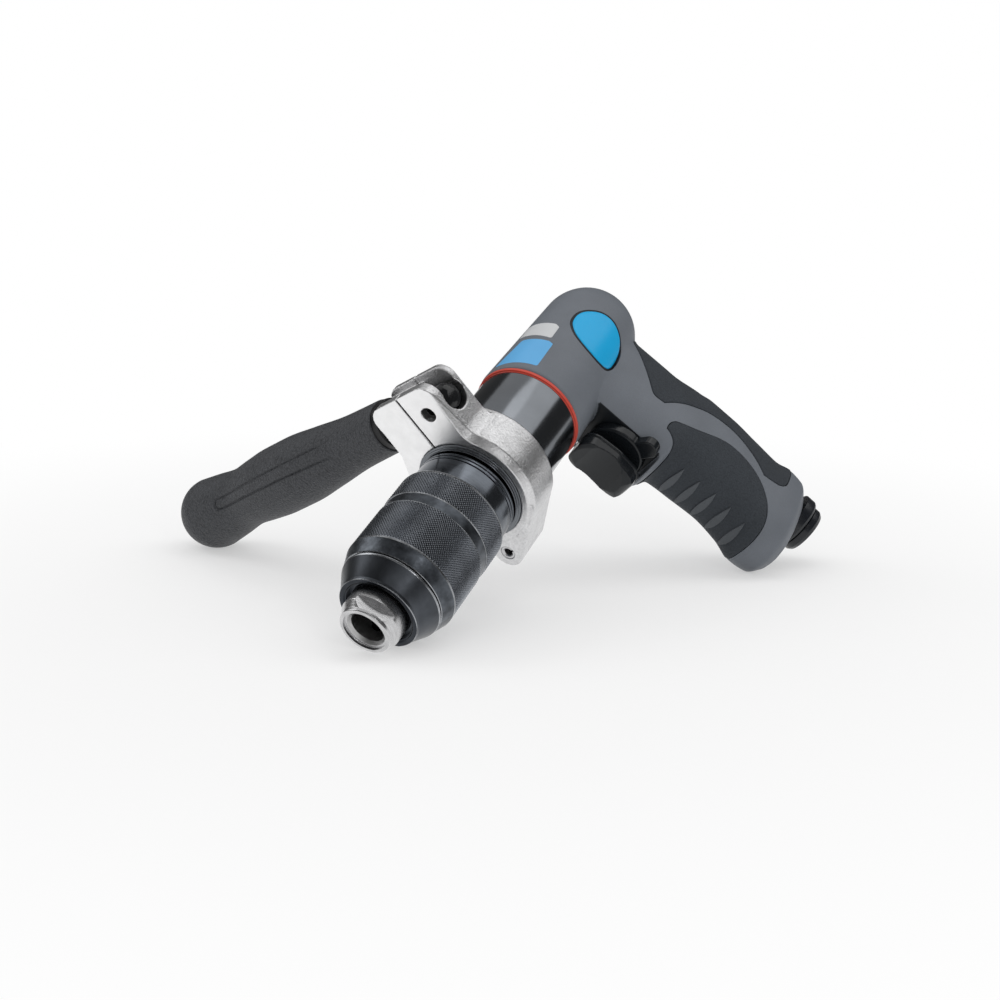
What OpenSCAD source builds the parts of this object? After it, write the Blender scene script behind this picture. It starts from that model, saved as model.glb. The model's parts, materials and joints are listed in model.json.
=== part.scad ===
// Reversible pistol-grip air drill with a keyless chuck and a clamp-on side handle.
// It lies on three points: the chuck nose, the toe of the grip and the bulb of the side handle.
// Tool frame: origin at the centre of the chuck nose, +Y along the spindle towards the rear,
// +Z away from the grip, +X out of the left flank. lay_down() turns this into the resting pose.

/* [Chuck] */
// Diameter of the knurled sleeve
chuck_d = 44; // [43:0.5:47]
// Bore of the nose, the largest drill shank
shank_d = 13; // [10:0.5:13]
// Diameter of the steel nose
nose_d = 19.2; // [19:0.1:22]
// Length of the nose in front of the cone
nose_len = 9.4; // [8:0.2:11]
// Length of the front cone
cone_len = 9.3; // [8.5:0.1:11]
// Diameter of the front rim of the cone
cone_d = 31; // [29:0.5:34]
// Length of the knurled sleeve
sleeve_len = 44.6; // [44:0.2:50]
// Length of the smooth collar behind the sleeve
collar_len = 12.2; // [10:0.2:20]
// Diameter of the smooth collar
collar_d = 40; // [38:0.5:42]
// Diameter of a jaw
jaw_d = 6.8; // [6:0.1:7]
// Angle between a jaw and the spindle
jaw_angle = 17; // [16:0.5:18]

/* [Gear case] */
// Diameter of the gear case, the neck that the side handle clamps
case_d = 43; // [42:0.2:45]
// Length of the gear case
case_len = 49.9; // [49:0.1:60]
// Diameter of the spindle in its bearing
spindle_d = 15; // [12:0.5:17]
// Outer diameter of the spindle bearing
bearing_d = 35; // [32:0.5:36]
// Width of the spindle bearing
bearing_w = 11; // [9:0.5:11]
// Gear module
gear_module = 0.7; // [0.66:0.01:0.72]
// Face width of the planet gears
planet_w = 7; // [5:0.5:7]

/* [Motor] */
// Outer diameter of the motor cylinder and its end plates
motor_d = 36; // [34:0.5:37]
// Space between the motor and the centre of the rear dome
motor_setback = 6.1; // [4:0.1:12]
// Diameter of the rotor
rotor_d = 25; // [22:0.5:25]
// Number of vanes
vane_count = 5; // [4:1:6]

/* [Housing] */
// Diameter of the barrel at its front face
barrel_d = 45; // [44:0.5:50]
// Diameter of the dome at the rear of the barrel
dome_d = 41.4; // [40:0.2:46]
// Barrel length from its front face to the centre of the rear dome
barrel_len = 57; // [56:0.5:66]
// Width of the red trim ring
trim_w = 1.8; // [1.2:0.1:3]
// Depth of the soft pads and of their pockets
pad_t = 2.4; // [1.6:0.1:3]

/* [Grip] */
// Distance from the spindle axis to the bottom of the grip
grip_drop = 116.6; // [112:0.2:126]
// Width of the grip across the flanks
grip_w = 35; // [32:0.5:39]
// Depth of the grip from front to back
grip_depth = 45.6; // [43:0.2:50]
// Setback of the grip behind the front face of the housing
grip_setback = 23.2; // [22:0.2:28]
// Outer diameter of the air inlet bushing
inlet_d = 21.6; // [20:0.2:24]
// Length of the inlet bushing below the grip
inlet_len = 10; // [8:0.5:16]
// Minor diameter of the inlet thread, 1/4 inch pipe
inlet_thread_d = 11.45; // [8.6:0.05:13]

/* [Trigger and valve] */
// Distance of the trigger rod below the spindle axis
trigger_drop = 37.5; // [36.5:0.5:40]
// Height of the trigger
trigger_h = 27.6; // [24:0.2:28]
// Width of the trigger
trigger_w = 18.6; // [16:0.2:20]
// Travel of the trigger
trigger_travel = 4.2; // [3:0.1:4.4]
// Radius of the reverse lever's drum
drum_r = 12.8; // [11:0.1:13.2]
// Half of the reverse lever's throw, in degrees
reverse_half_throw = 30; // [20:1:30]

/* [Side handle] */
// Width of the clamp along the spindle
clamp_w = 19.4; // [18:0.2:22]
// Wall of the clamp band
clamp_wall = 4.3; // [3.6:0.1:6]
// Distance between the spindle axis and the handle axis
handle_offset = 34; // [33:0.5:36]
// Turn of the clamp on the neck, in degrees
clamp_turn = 15; // [0:1:40]
// Distance from the clamp's split to the near end of the handle
handle_start = 17.7; // [17:0.1:22]
// Length of the handle
handle_len = 146.8; // [130:0.2:160]
// Radius of the bulb at the end of the handle
bulb_r = 15.8; // [14.5:0.1:18]
// Diameter of the depth rod hole
rod_hole_d = 6; // [5:0.5:6]

/* [Fits] */
// Radial clearance of running fits
running = 0.05; // [0.03:0.01:0.08]
// Radial clearance of seated pieces
seated = 0.05; // [0.03:0.01:0.1]
// Gap between neighbouring pieces that turn against each other
face_gap = 0.4; // [0.3:0.05:0.6]

/* [Hidden] */
$fn = 64;

// Stations along the spindle
cone_y = nose_len;
sleeve_y = cone_y + cone_len + face_gap;
collar_y = sleeve_y + sleeve_len + face_gap;
case_y = collar_y + collar_len + 1.1;
trim_y = case_y + case_len;
house_y = trim_y + trim_w;
dome_y = house_y + barrel_len;
clamp_y = case_y + 1.7;
trim_room = 0.6;
trim_proud = 0.7;
handle_y = clamp_y + clamp_w / 2 - 0.2;

// Chuck
nut_y = sleeve_y + 0.5;
nut_len = 6;
jaw_travel = 18;
jaw_tip_y = 17;
jaw_tail_y = nut_y + nut_len + jaw_travel;
jaw_start_r = 1;
jaw_flank = 60;
body_rear_r = chuck_d / 2 - 5;
cone_seat_r = 13;
cone_recess = 3;
mouth = 1;
land_end_y = 6;
bore_relief = 0.4;
flat_depth = 0.9;
flat_turn = 18;
flat_y0 = 2.4;
flat_y1 = cone_y - 1.2;
sleeve_bore_r = chuck_d / 2 - 1.9;
nut_r = chuck_d / 2 - 4;
chuck_floor_y = 48;
thread_r = 6.3;
screw_r = 3;
screw_head_r = 5.4;
screw_head_t = 5;
screw_reach = 12;
hex_r = 2.9;
hex_depth = 3;
screw_seat_y = chuck_floor_y - 8;
bore_end_y = screw_seat_y - screw_head_t - face_gap;

// Gears: both stages share one ring gear
sun_teeth = 10;
planet_teeth = 17;
ring_teeth = sun_teeth + 2 * planet_teeth;
pressure_angle = 25;
tooth_addendum = 0.8 * gear_module;
tooth_dedendum = 1.1 * gear_module;
tooth_backlash = 0.06;
planet_orbit = gear_module * (sun_teeth + planet_teeth) / 2;
planet_pin_r = 2;
carrier_r = planet_orbit + 4.8;
carrier_t = 3.5;
gear_shell_r = case_d / 2 - 3;
bearing_y = case_y + 4;
spindle_disc_y = bearing_y + bearing_w + 1.4;
front_planet_y = spindle_disc_y + carrier_t + face_gap;
carrier_y = front_planet_y + planet_w + 1.4;
rear_planet_y = carrier_y + carrier_t + face_gap;
gears_end_y = rear_planet_y + planet_w + 0.6;

// Motor
plate_t = 8;
front_plate_y = trim_y - plate_t - 0.5;
motor_y = front_plate_y + plate_t + 0.1;
motor_end_y = dome_y - motor_setback;
rear_plate_y = motor_end_y - plate_t;
motor_len = rear_plate_y - 0.1 - motor_y;
bore_offset = 1;
vane_tip_gap = 0.25;
motor_bearing_r = 9.5;
journal_r = 5;
rear_journal_r = 4;
vane_t = 1.6;
vane_depth = 6;

// Grip stations: [height, front, back, half width, slope], fronts and backs measured from the nose
grip_y0 = house_y + grip_setback;
grip_y1 = grip_y0 + grip_depth;
grip_half = grip_w / 2;
grip_z = -grip_drop;
ledge_z = -trigger_drop - 14.5;
GRIP = [
    [-18, grip_y0 - 10, grip_y1 - 3, grip_half - 0.5, 0],
    [-trigger_drop, grip_y0 - 10, grip_y1 - 3, grip_half, 0],
    [ledge_z, grip_y0 - 10, grip_y1 - 0.3, grip_half, 0],
    [ledge_z - 6, grip_y0 - 0.2, grip_y1 + 0.2, grip_half, 0],
    [ledge_z - 18, grip_y0 + 1.3, grip_y1 + 0.2, grip_half, 0],
    [ledge_z - 32, grip_y0 + 2.3, grip_y1 - 0.8, grip_half - 0.5, 0],
    [grip_z + 20.5, grip_y0 + 0.1, grip_y1 - 1.6, grip_half - 0.6, 0.03],
    [grip_z + 11.5, grip_y0 - 3.9, grip_y1 + 0.8, grip_half - 0.1, 0.06],
    [grip_z + 4.5, grip_y0 - 2.9, grip_y1 + 0.2, grip_half - 0.9, 0.09],
    [grip_z, grip_y0 + 1.5, grip_y1 - 4.5, grip_half - 5, 0.09]
];
// Circles that bound the soft pads and the badge: [back, up, radius], sized with the grip and the dome
FRONT_PAD = grip_depth * [[0.175, -0.007, 0.121], [-0.077, -0.57, 0.592]];
FRONT_PAD_NOTCH = grip_depth * [-0.055, 0.132, 0.186];
SPINE_PAD_TOP = grip_depth * [0.43, 0.022, 0.099];
SPINE_PAD_END = grip_depth * [0.636, 0.395, 0.11];
SPINE_PAD_WAIST = grip_depth * [-0.105, -0.395, 0.785];
BADGE = dome_d * [[-0.51, 0.152, 0.082], [-0.575, -0.246, 0.097], [-0.432, -0.072, 0.266]];
grip_sides = 28;
grip_squareness = 2.5;
dome_steps = 10;

// Valve train
recess_y = grip_y0 - 4;
rod_r = 2.2;
rod_room = 0.4;
rod_seat = 3;
trigger_z = -trigger_drop;
trigger_front_y = house_y + 1.2;
trigger_top_z = -barrel_d / 2 - 0.8;
drum_t = 4.6;
drum_y = recess_y - drum_t - 0.5;
trigger_back_y = drum_y - trigger_travel - 0.6;
tab_reach = 20.5;
tab_h = 8;
bushing_r = 9;
bushing_bore_r = 7;
bushing_floor = 1.2;
bushing_y = recess_y + 0.6;
inlet_y = grip_y1 - 0.296 * grip_depth;
bushing_end_y = inlet_y + 4.6;
spool_len = 12;
seat_depth = 13;
seat_y = bushing_y + seat_depth;
seat_t = 4;
poppet_t = 3.6;
poppet_r = 5.2;
spring_wire_r = 0.6;
spring_turns = 6;
inlet_seat_len = 13;
inlet_neck_r = 9;
inlet_step = 1.5;
inlet_step_z = grip_z + 4;
passage_r = 4.5;
exhaust_y = grip_y0 + 0.241 * grip_depth;
muffler_r = 6;
muffler_len = 29;

// Side handle, in the clamp's own frame: X across the split, Z from the spindle to the handle
neck_r = case_d / 2;
clamp_bore_r = neck_r + seated;
clamp_r = clamp_bore_r + clamp_wall;
split_gap = 0.9;
lug_top = handle_offset + 11;
lug_right = 17;
lug_left = handle_start - 0.3;
lug_w = clamp_w - 2.8;
lug_corner = 6;
lug_fillet_r = 9;
ear_t = 4.5;
rear_ear_t = 2.6;
hinge_ear_t = 5.5;
channel_depth = 3;
bolt_r = 3;
bolt_head_r = 5.6;
bolt_head_t = 12;
bolt_seat = 3.5;
hinge_x = -6;
hinge_z = -neck_r - 8.5;
hinge_pin_r = 3;
knuckle_r = 6.2;
knuckle_gap = 0.3;
rod_hole_x = bolt_seat + 5.3;
insert_r = 5.5;
insert_len = 22;
handle_end = handle_start + handle_len;
bulb_t = handle_end - bulb_r;

// Handle profile: [distance from the split, radius], as shares of the length to the bulb and of its radius
HANDLE = [
    for (p = [
        [0, 0.671], [0.183, 0.709], [0.351, 0.835], [0.489, 0.93], [0.603, 0.937],
        [0.702, 0.886], [0.794, 0.829], [0.908, 0.924], [1, 1]
    ]) [handle_start + p[0] * (bulb_t - handle_start), p[1] * bulb_r]
];

// Resting pose: the floor touches the nose ring, the bulb and the lowest point of the grip
function unit(v) = v / norm(v);
function turned(x, y, z) = [
    x * cos(clamp_turn) + z * sin(clamp_turn), y, z * cos(clamp_turn) - x * sin(clamp_turn)
];
function signed_power(v, e) = sign(v) * pow(abs(v), e);
function grip_ring(i, grow) = let (s = GRIP[i], c = (s[1] + s[2]) / 2, h = (s[2] - s[1]) / 2 + grow) [
    for (k = [0:grip_sides - 1]) let (a = 360 * k / grip_sides)
        [(s[3] + grow) * signed_power(cos(a), 2 / grip_squareness),
         c + h * signed_power(sin(a), 2 / grip_squareness)]
];
function grip_ring_at(i, grow) = let (s = GRIP[i], middle_y = (s[1] + s[2]) / 2) [
    for (p = grip_ring(i, grow)) [p[0], p[1], s[0] + s[4] * (p[1] - middle_y)]
];
grip_points = [for (i = [4:len(GRIP) - 1]) each grip_ring_at(i, 0)];
bulb_c = turned(-bulb_t, handle_y, handle_offset);
nose_r = nose_d / 2;
function nose_point(n) = -nose_r * unit([n[0], 0, n[2]]);
function lowest(points, n) = let (d = [for (p = points) p * n], m = min(d))
    [for (i = [0:len(d) - 1]) if (d[i] == m) points[i]][0];
function upward(n, like) = n * like < 0 ? -n : n;
function floor_normal(n, rounds) = rounds == 0 ? n : floor_normal(
    upward(unit(cross(bulb_c - bulb_r * n - nose_point(n), lowest(grip_points, n) - nose_point(n))), n),
    rounds - 1
);
rest_z = floor_normal(unit([0.59, 0.47, 0.65]), 12);
rest_y = unit([0, 1, 0] - rest_z[1] * rest_z);
rest_x = cross(rest_y, rest_z);

// Reach of the lying tool along a direction, for centring it on its own footprint
inlet_tip = [0, inlet_y, grip_z - inlet_len];
function circle_reach(c, axis, r, d) = c * d + r * sqrt(max(0, 1 - pow(axis * d, 2)));
function reach(d) = max(concat([
    bulb_c * d + bulb_r,
    [0, dome_y, 0] * d + dome_d / 2,
    circle_reach([0, 0, 0], [0, 1, 0], nose_r, d),
    circle_reach(inlet_tip, [0, 0, 1], inlet_d / 2 - 1, d),
    circle_reach(inlet_tip + [0, 0, 1], [0, 0, 1], inlet_d / 2, d)
], [for (p = grip_points) p * d]));
function middle(d) = (reach(d) - reach(-d)) / 2;
rest_shift = [-middle(rest_x), -middle(rest_y), reach(-rest_z)];

module lay_down() {
    multmatrix([
        [rest_x[0], rest_x[1], rest_x[2], rest_shift[0]],
        [rest_y[0], rest_y[1], rest_y[2], rest_shift[1]],
        [rest_z[0], rest_z[1], rest_z[2], rest_shift[2]],
        [0, 0, 0, 1]
    ]) children();
}

// Extrudes an outline drawn in X and Z along the spindle
module along_y(y0, y1) {
    translate([0, y1, 0]) rotate([90, 0, 0]) linear_extrude(y1 - y0) children();
}

// Extrudes an outline drawn in Y and Z across the tool
module across_x(x0, x1) {
    translate([x0, 0, 0]) rotate([90, 0, 90]) linear_extrude(x1 - x0) children();
}

// Turns a profile of [radius, station] about the spindle
module around_y() {
    rotate([-90, 0, 0]) rotate_extrude() children();
}

module rod(r, y0, y1) {
    translate([0, y0, 0]) rotate([-90, 0, 0]) cylinder(r = r, h = y1 - y0);
}

module tube(r0, r1, y0, y1) {
    around_y() translate([r0, y0]) square([r1 - r0, y1 - y0]);
}

// Ball bearing with its rings and balls as separate solids
module ball_bearing(r0, r1, y, w) {
    ring_t = (r1 - r0) * 0.27;
    ball_r = (r1 - r0) * 0.2;
    ball_orbit = (r0 + r1) / 2;
    ball_count = floor(180 / asin(ball_r * 1.15 / ball_orbit));
    tube(r0, r0 + ring_t, y, y + w);
    tube(r1 - ring_t, r1, y, y + w);
    for (k = [0:ball_count - 1])
        rotate([0, 360 * k / ball_count, 0]) translate([0, y + w / 2, ball_orbit])
            sphere(r = ball_r, $fn = 24);
}

// Involute gear outline: half the angle of a tooth at radius r
function involute(a) = tan(a) * 180 / PI - a;
function half_tooth(r, pitch_r, thickness) = let (base_r = pitch_r * cos(pressure_angle))
    thickness / (2 * pitch_r) * 180 / PI + involute(pressure_angle)
    - (r > base_r ? involute(acos(base_r / r)) : 0);
function polar(r, a) = [r * cos(a), r * sin(a)];
function gear_points(teeth, up, down, play) = let (
    pitch_r = gear_module * teeth / 2,
    thickness = PI * gear_module / 2 - play,
    radii = [pitch_r - down, pitch_r - down * 0.35, pitch_r + up * 0.35, pitch_r + up]
) [
    for (i = [0:teeth - 1]) each concat(
        [for (r = radii) polar(r, 360 * i / teeth - half_tooth(r, pitch_r, thickness))],
        [for (k = [3:-1:0]) polar(radii[k], 360 * i / teeth + half_tooth(radii[k], pitch_r, thickness))]
    )
];
module external_gear(teeth, y0, y1) {
    along_y(y0, y1) polygon(gear_points(teeth, tooth_addendum, tooth_dedendum, tooth_backlash));
}
// Angle of a planet whose teeth mesh with the sun and the ring
function planet_phase(a) = a + 180 + 180 / planet_teeth + a * sun_teeth / planet_teeth;
module planet(k, y) {
    orbit_a = 120 * k;
    rotate([0, -orbit_a, 0]) translate([planet_orbit, 0, 0]) rotate([0, orbit_a - planet_phase(orbit_a), 0])
        difference() {
            external_gear(planet_teeth, y, y + planet_w);
            rod(planet_pin_r + running, y - 1, y + planet_w + 1);
        }
}
module planet_pins(y0, y1) {
    for (k = [0:2]) rotate([0, -120 * k, 0]) translate([planet_orbit, 0, 0]) rod(planet_pin_r, y0, y1);
}

// Chuck

function jaw_axis_r(y) = jaw_start_r + y * tan(jaw_angle);
function nut_bore_r(y) = jaw_axis_r(y) + jaw_d / 2 / cos(jaw_angle) + 0.35;
module jaw_cylinder(r, y0, y1) {
    translate([0, 0, jaw_start_r]) rotate([jaw_angle - 90, 0, 0])
        translate([0, 0, y0 / cos(jaw_angle)]) cylinder(r = r, h = (y1 - y0) / cos(jaw_angle));
}
module jaw(k) {
    reach_out = 30;
    open_r = shank_d / 2 + 0.1;
    color("#8d8f92") lay_down() rotate([0, 120 * k, 0]) intersection() {
        jaw_cylinder(jaw_d / 2, jaw_tip_y, jaw_tail_y);
        along_y(0, collar_y) polygon([
            [0, open_r],
            [reach_out * tan(jaw_flank), open_r + reach_out],
            [-reach_out * tan(jaw_flank), open_r + reach_out]
        ]);
    }
}
module jaw_1() jaw(0);
module jaw_2() jaw(1);
module jaw_3() jaw(2);

module chuck_body() {
    groove_r = nut_bore_r(nut_y) - 0.4;
    color("#b9bbbe") lay_down() difference() {
        around_y() polygon([
            [0, 0], [nose_r - 0.8, 0], [nose_r, 0.8], [nose_r, cone_y + cone_recess],
            [cone_seat_r, cone_y + cone_recess], [cone_seat_r, nut_y - 0.4],
            [groove_r, nut_y - 0.4], [groove_r, nut_y + nut_len + 0.4],
            [body_rear_r, nut_y + nut_len + 0.4], [body_rear_r, collar_y + collar_len],
            [0, collar_y + collar_len]
        ]);
        rod(shank_d / 2, -1, land_end_y + 1);
        rod(shank_d / 2 + bore_relief, land_end_y, bore_end_y);
        rod(screw_head_r + 0.3, 1, screw_seat_y);
        translate([0, -0.01, 0]) rotate([-90, 0, 0])
            cylinder(r1 = shank_d / 2 + mouth, r2 = shank_d / 2, h = mouth);
        rod(screw_r + running, 1, chuck_floor_y + 1);
        rod(thread_r + running, chuck_floor_y, collar_y + collar_len + 1);
        for (k = [0:2]) rotate([0, 120 * k, 0]) jaw_cylinder(jaw_d / 2 + running, -6, jaw_tail_y + 4);
        for (side = [-1, 1]) rotate([0, -flat_turn, 0])
            translate([side * (nose_d - flat_depth), (flat_y0 + flat_y1) / 2, 0])
                cube([nose_d, flat_y1 - flat_y0, nose_d], center = true);
    }
}

module nose_cone() {
    back_r = chuck_d / 2 - 2;
    rim = 1.2;
    color("#1c1c1e") lay_down() around_y() polygon([
        [cone_seat_r + seated, cone_y + 0.5], [cone_d / 2 - 2.2, cone_y + 0.5], [cone_d / 2 - 1.6, cone_y],
        [cone_d / 2 - 0.4, cone_y], [cone_d / 2, cone_y + 0.4], [cone_d / 2, cone_y + rim],
        [back_r, cone_y + cone_len], [cone_seat_r + seated, cone_y + cone_len]
    ]);
}

module chuck_sleeve() {
    front_r = chuck_d / 2 - 2;
    chamfer = 6;
    band_y = sleeve_y + 26.6;
    band_w = 4.5;
    band_depth = 0.5;
    end_chamfer = 1;
    color("#2b2b2d") lay_down() difference() {
        around_y() polygon([
            [nut_r + seated, sleeve_y], [front_r, sleeve_y], [chuck_d / 2, sleeve_y + chamfer],
            [chuck_d / 2, sleeve_y + sleeve_len - end_chamfer],
            [chuck_d / 2 - end_chamfer, sleeve_y + sleeve_len],
            [sleeve_bore_r, sleeve_y + sleeve_len], [sleeve_bore_r, nut_y + nut_len + 0.6],
            [nut_r + seated, nut_y + nut_len + 0.6]
        ]);
        tube(chuck_d / 2 - band_depth, chuck_d / 2 + 1, band_y, band_y + band_w);
    }
}

module chuck_nut() {
    color("#77797c") lay_down() around_y() polygon([
        [nut_bore_r(nut_y), nut_y], [nut_r, nut_y],
        [nut_r, nut_y + nut_len], [nut_bore_r(nut_y + nut_len), nut_y + nut_len]
    ]);
}

module chuck_collar() {
    edge = 0.8;
    color("#18181a") lay_down() around_y() polygon([
        [body_rear_r + seated, collar_y], [collar_d / 2 - edge, collar_y], [collar_d / 2, collar_y + edge],
        [collar_d / 2, collar_y + collar_len - edge], [collar_d / 2 - edge, collar_y + collar_len],
        [body_rear_r + seated, collar_y + collar_len]
    ]);
}

module chuck_screw() {
    head_y = screw_seat_y - screw_head_t;
    color("#5a5b5e") lay_down() difference() {
        union() {
            rod(screw_head_r, head_y, screw_seat_y);
            rod(screw_r, screw_seat_y, chuck_floor_y + screw_reach);
        }
        translate([0, head_y - 0.1, 0]) rotate([-90, 0, 0]) cylinder(r = hex_r, h = hex_depth, $fn = 6);
    }
}

// Gear case and gears

module gear_case() {
    front_chamfer = 1.2;
    nose_bore_r = spindle_d / 2 + 0.6;
    shoulder_r = bearing_d / 2 - 2.5;
    color("#141416") lay_down() around_y() polygon([
        [nose_bore_r, case_y], [neck_r - front_chamfer, case_y], [neck_r, case_y + front_chamfer],
        [neck_r, trim_y], [gear_shell_r + seated, trim_y], [gear_shell_r + seated, spindle_disc_y - 0.6],
        [bearing_d / 2 + seated, spindle_disc_y - 0.6], [bearing_d / 2 + seated, bearing_y],
        [shoulder_r, bearing_y], [shoulder_r, bearing_y - 1], [nose_bore_r, bearing_y - 1]
    ]);
}

module ring_gear() {
    color("#6f7074") lay_down() along_y(front_planet_y - 0.2, gears_end_y) difference() {
        circle(r = gear_shell_r);
        polygon(gear_points(ring_teeth, tooth_dedendum, tooth_addendum, -tooth_backlash));
    }
}

module spindle() {
    color("#a3a5a8") lay_down() difference() {
        union() {
            rod(thread_r, chuck_floor_y + 0.5, collar_y + collar_len);
            rod(spindle_d / 2, collar_y + collar_len, spindle_disc_y);
            rod(carrier_r, spindle_disc_y, spindle_disc_y + carrier_t);
        }
        rod(screw_r + running, chuck_floor_y, chuck_floor_y + screw_reach + 2);
        planet_pin_holes(spindle_disc_y - 1, spindle_disc_y + carrier_t + 1);
    }
}

module planet_pin_holes(y0, y1) {
    for (k = [0:2]) rotate([0, -120 * k, 0]) translate([planet_orbit, 0, 0])
        rod(planet_pin_r + 0.02, y0, y1);
}

module spindle_bearing() {
    color("#c2c4c7") lay_down()
        ball_bearing(spindle_d / 2 + running, bearing_d / 2, bearing_y + 0.1, bearing_w);
}

module spindle_pins() {
    color("#d0d2d4") lay_down() planet_pins(spindle_disc_y, front_planet_y + planet_w + 0.5);
}

module carrier_pins() {
    color("#d0d2d4") lay_down() planet_pins(carrier_y, rear_planet_y + planet_w + 0.3);
}

module front_planet(k) {
    color("#9a9c9f") lay_down() planet(k, front_planet_y);
}
module front_planet_1() front_planet(0);
module front_planet_2() front_planet(1);
module front_planet_3() front_planet(2);

module rear_planet(k) {
    color("#9a9c9f") lay_down() planet(k, rear_planet_y);
}
module rear_planet_1() rear_planet(0);
module rear_planet_2() rear_planet(1);
module rear_planet_3() rear_planet(2);

module planet_carrier() {
    color("#8a8c90") lay_down() difference() {
        union() {
            external_gear(sun_teeth, front_planet_y, carrier_y + 0.5);
            rod(carrier_r, carrier_y, carrier_y + carrier_t);
        }
        planet_pin_holes(carrier_y - 1, carrier_y + carrier_t + 1);
    }
}

// Air motor

module motor_plate(y, bore_r) {
    difference() {
        rod(motor_d / 2, y, y + plate_t);
        rod(bore_r, y - 1, y + plate_t + 1);
        rod(motor_bearing_r + 0.02, y + 0.6, y + plate_t - 0.6);
    }
}

module motor_front_plate() {
    color("#b0a58e") lay_down() motor_plate(front_plate_y, journal_r + 2);
}

module motor_rear_plate() {
    color("#b0a58e") lay_down() motor_plate(rear_plate_y, rear_journal_r + 2);
}

module motor_front_bearing() {
    color("#c2c4c7") lay_down()
        ball_bearing(journal_r + running, motor_bearing_r, front_plate_y + 0.7, plate_t - 1.4);
}

module motor_rear_bearing() {
    color("#c2c4c7") lay_down()
        ball_bearing(rear_journal_r + running, motor_bearing_r, rear_plate_y + 0.7, plate_t - 1.4);
}

module motor_cylinder() {
    port_r = 2;
    port_count = 5;
    bore_r = rotor_d / 2 + bore_offset + vane_tip_gap;
    color("#cfc8b8") lay_down() difference() {
        rod(motor_d / 2, motor_y, motor_y + motor_len);
        translate([0, 0, bore_offset]) rod(bore_r, motor_y - 1, motor_y + motor_len + 1);
        for (k = [1:port_count])
            translate([0, motor_y + motor_len * k / (port_count + 1), 0]) cylinder(r = port_r, h = motor_d);
    }
}

module vane_slots(play) {
    for (k = [0:vane_count - 1]) rotate([0, 360 * k / vane_count, 0])
        translate([-vane_t / 2 - play, motor_y + 0.3 - play, rotor_d / 2 - vane_depth - play])
            cube([vane_t + 2 * play, motor_len - 0.6 + 2 * play, vane_depth + play + (play > 0 ? 1 : -0.1)]);
}

module rotor() {
    color("#9da0a4") lay_down() difference() {
        union() {
            external_gear(sun_teeth, rear_planet_y, front_plate_y - 0.2);
            rod(journal_r, front_plate_y - 0.4, motor_y + 0.4);
            rod(rotor_d / 2, motor_y + 0.2, motor_y + motor_len - 0.2);
            rod(rear_journal_r, motor_y + motor_len - 0.4, motor_end_y - 0.2);
        }
        vane_slots(0.08);
    }
}

module vanes() {
    color("#6b4a2c") lay_down() vane_slots(0);
}

// Housing and grip

// Grip lofted through its stations, grown or shrunk all round
module grip_form(grow) {
    top = [for (k = [0:grip_sides - 1]) k];
    bottom = [for (k = [2 * grip_sides - 1:-1:grip_sides]) k];
    for (i = [0:len(GRIP) - 2])
        hull() polyhedron(concat(grip_ring_at(i, grow), grip_ring_at(i + 1, grow)), [top, bottom]);
}

// Disc set back from the front of the grip and up from a height
module disc_from(z, c) {
    translate([grip_y0 + c[0], z + c[1]]) circle(r = c[2]);
}

// Flank outline of the soft pad that wraps the front of the grip
module grip_pad_outline() {
    difference() {
        hull() for (c = FRONT_PAD) disc_from(ledge_z, c);
        disc_from(ledge_z, FRONT_PAD_NOTCH);
        translate([grip_y0 + FRONT_PAD_NOTCH[0] - grip_depth, ledge_z + FRONT_PAD_NOTCH[0]])
            square([grip_depth, grip_depth]);
    }
}

// Flank outline of the soft pad along the back of the grip
module spine_pad_outline() {
    behind = grip_y1 + grip_depth * 0.35;
    difference() {
        hull() {
            disc_from(trigger_z, SPINE_PAD_TOP);
            disc_from(grip_z, SPINE_PAD_END);
            translate([behind, trigger_z + grip_depth]) square([1, 1]);
            translate([behind, grip_z + SPINE_PAD_END[1] - SPINE_PAD_END[2]]) square([1, 1]);
        }
        disc_from(ledge_z, SPINE_PAD_WAIST);
    }
}

// Flank outline of the badge on the barrel
module badge_outline(grow) {
    hull() for (c = BADGE) translate([dome_y + c[0], c[1]]) circle(r = c[2] + grow);
}

// Pocket in the grip for a soft pad
module pad_pocket(depth) {
    difference() {
        across_x(-grip_w, grip_w) children();
        grip_form(-depth);
    }
}

// Barrel and its dome, grown or shrunk all round
module barrel_form(grow) {
    around_y() polygon(concat(
        [[0, house_y], [barrel_d / 2 + grow, house_y]],
        [for (k = [0:dome_steps]) let (a = 90 * k / dome_steps)
            [(dome_d / 2 + grow) * cos(a), dome_y + (dome_d / 2 + grow) * sin(a)]]
    ));
}

module housing() {
    $fn = 40;
    bore_play = 0.15;
    badge_depth = 0.8;
    color("#6a6c70") lay_down() difference() {
        union() {
            barrel_form(0);
            difference() {
                grip_form(0);
                translate([-grip_w, recess_y - grip_depth, ledge_z])
                    cube([2 * grip_w, grip_depth, -ledge_z]);
                pad_pocket(pad_t) grip_pad_outline();
                pad_pocket(pad_t) spine_pad_outline();
            }
        }
        rod(motor_d / 2 + bore_play, house_y - 1, motor_end_y + 0.2);
        translate([0, 0, trigger_z]) rod(bushing_r + bore_play, recess_y - 1, bushing_end_y + 0.2);
        translate([0, inlet_y, grip_z - 1]) cylinder(r = inlet_neck_r + bore_play, h = inlet_seat_len + 1.2);
        translate([0, inlet_y, grip_z]) cylinder(r = passage_r, h = grip_drop - trigger_drop);
        translate([0, exhaust_y, grip_z - 1]) cylinder(r = muffler_r + bore_play, h = muffler_len + 2);
        difference() {
            across_x(0, barrel_d) badge_outline(0.2);
            barrel_form(-badge_depth);
        }
    }
}

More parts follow.
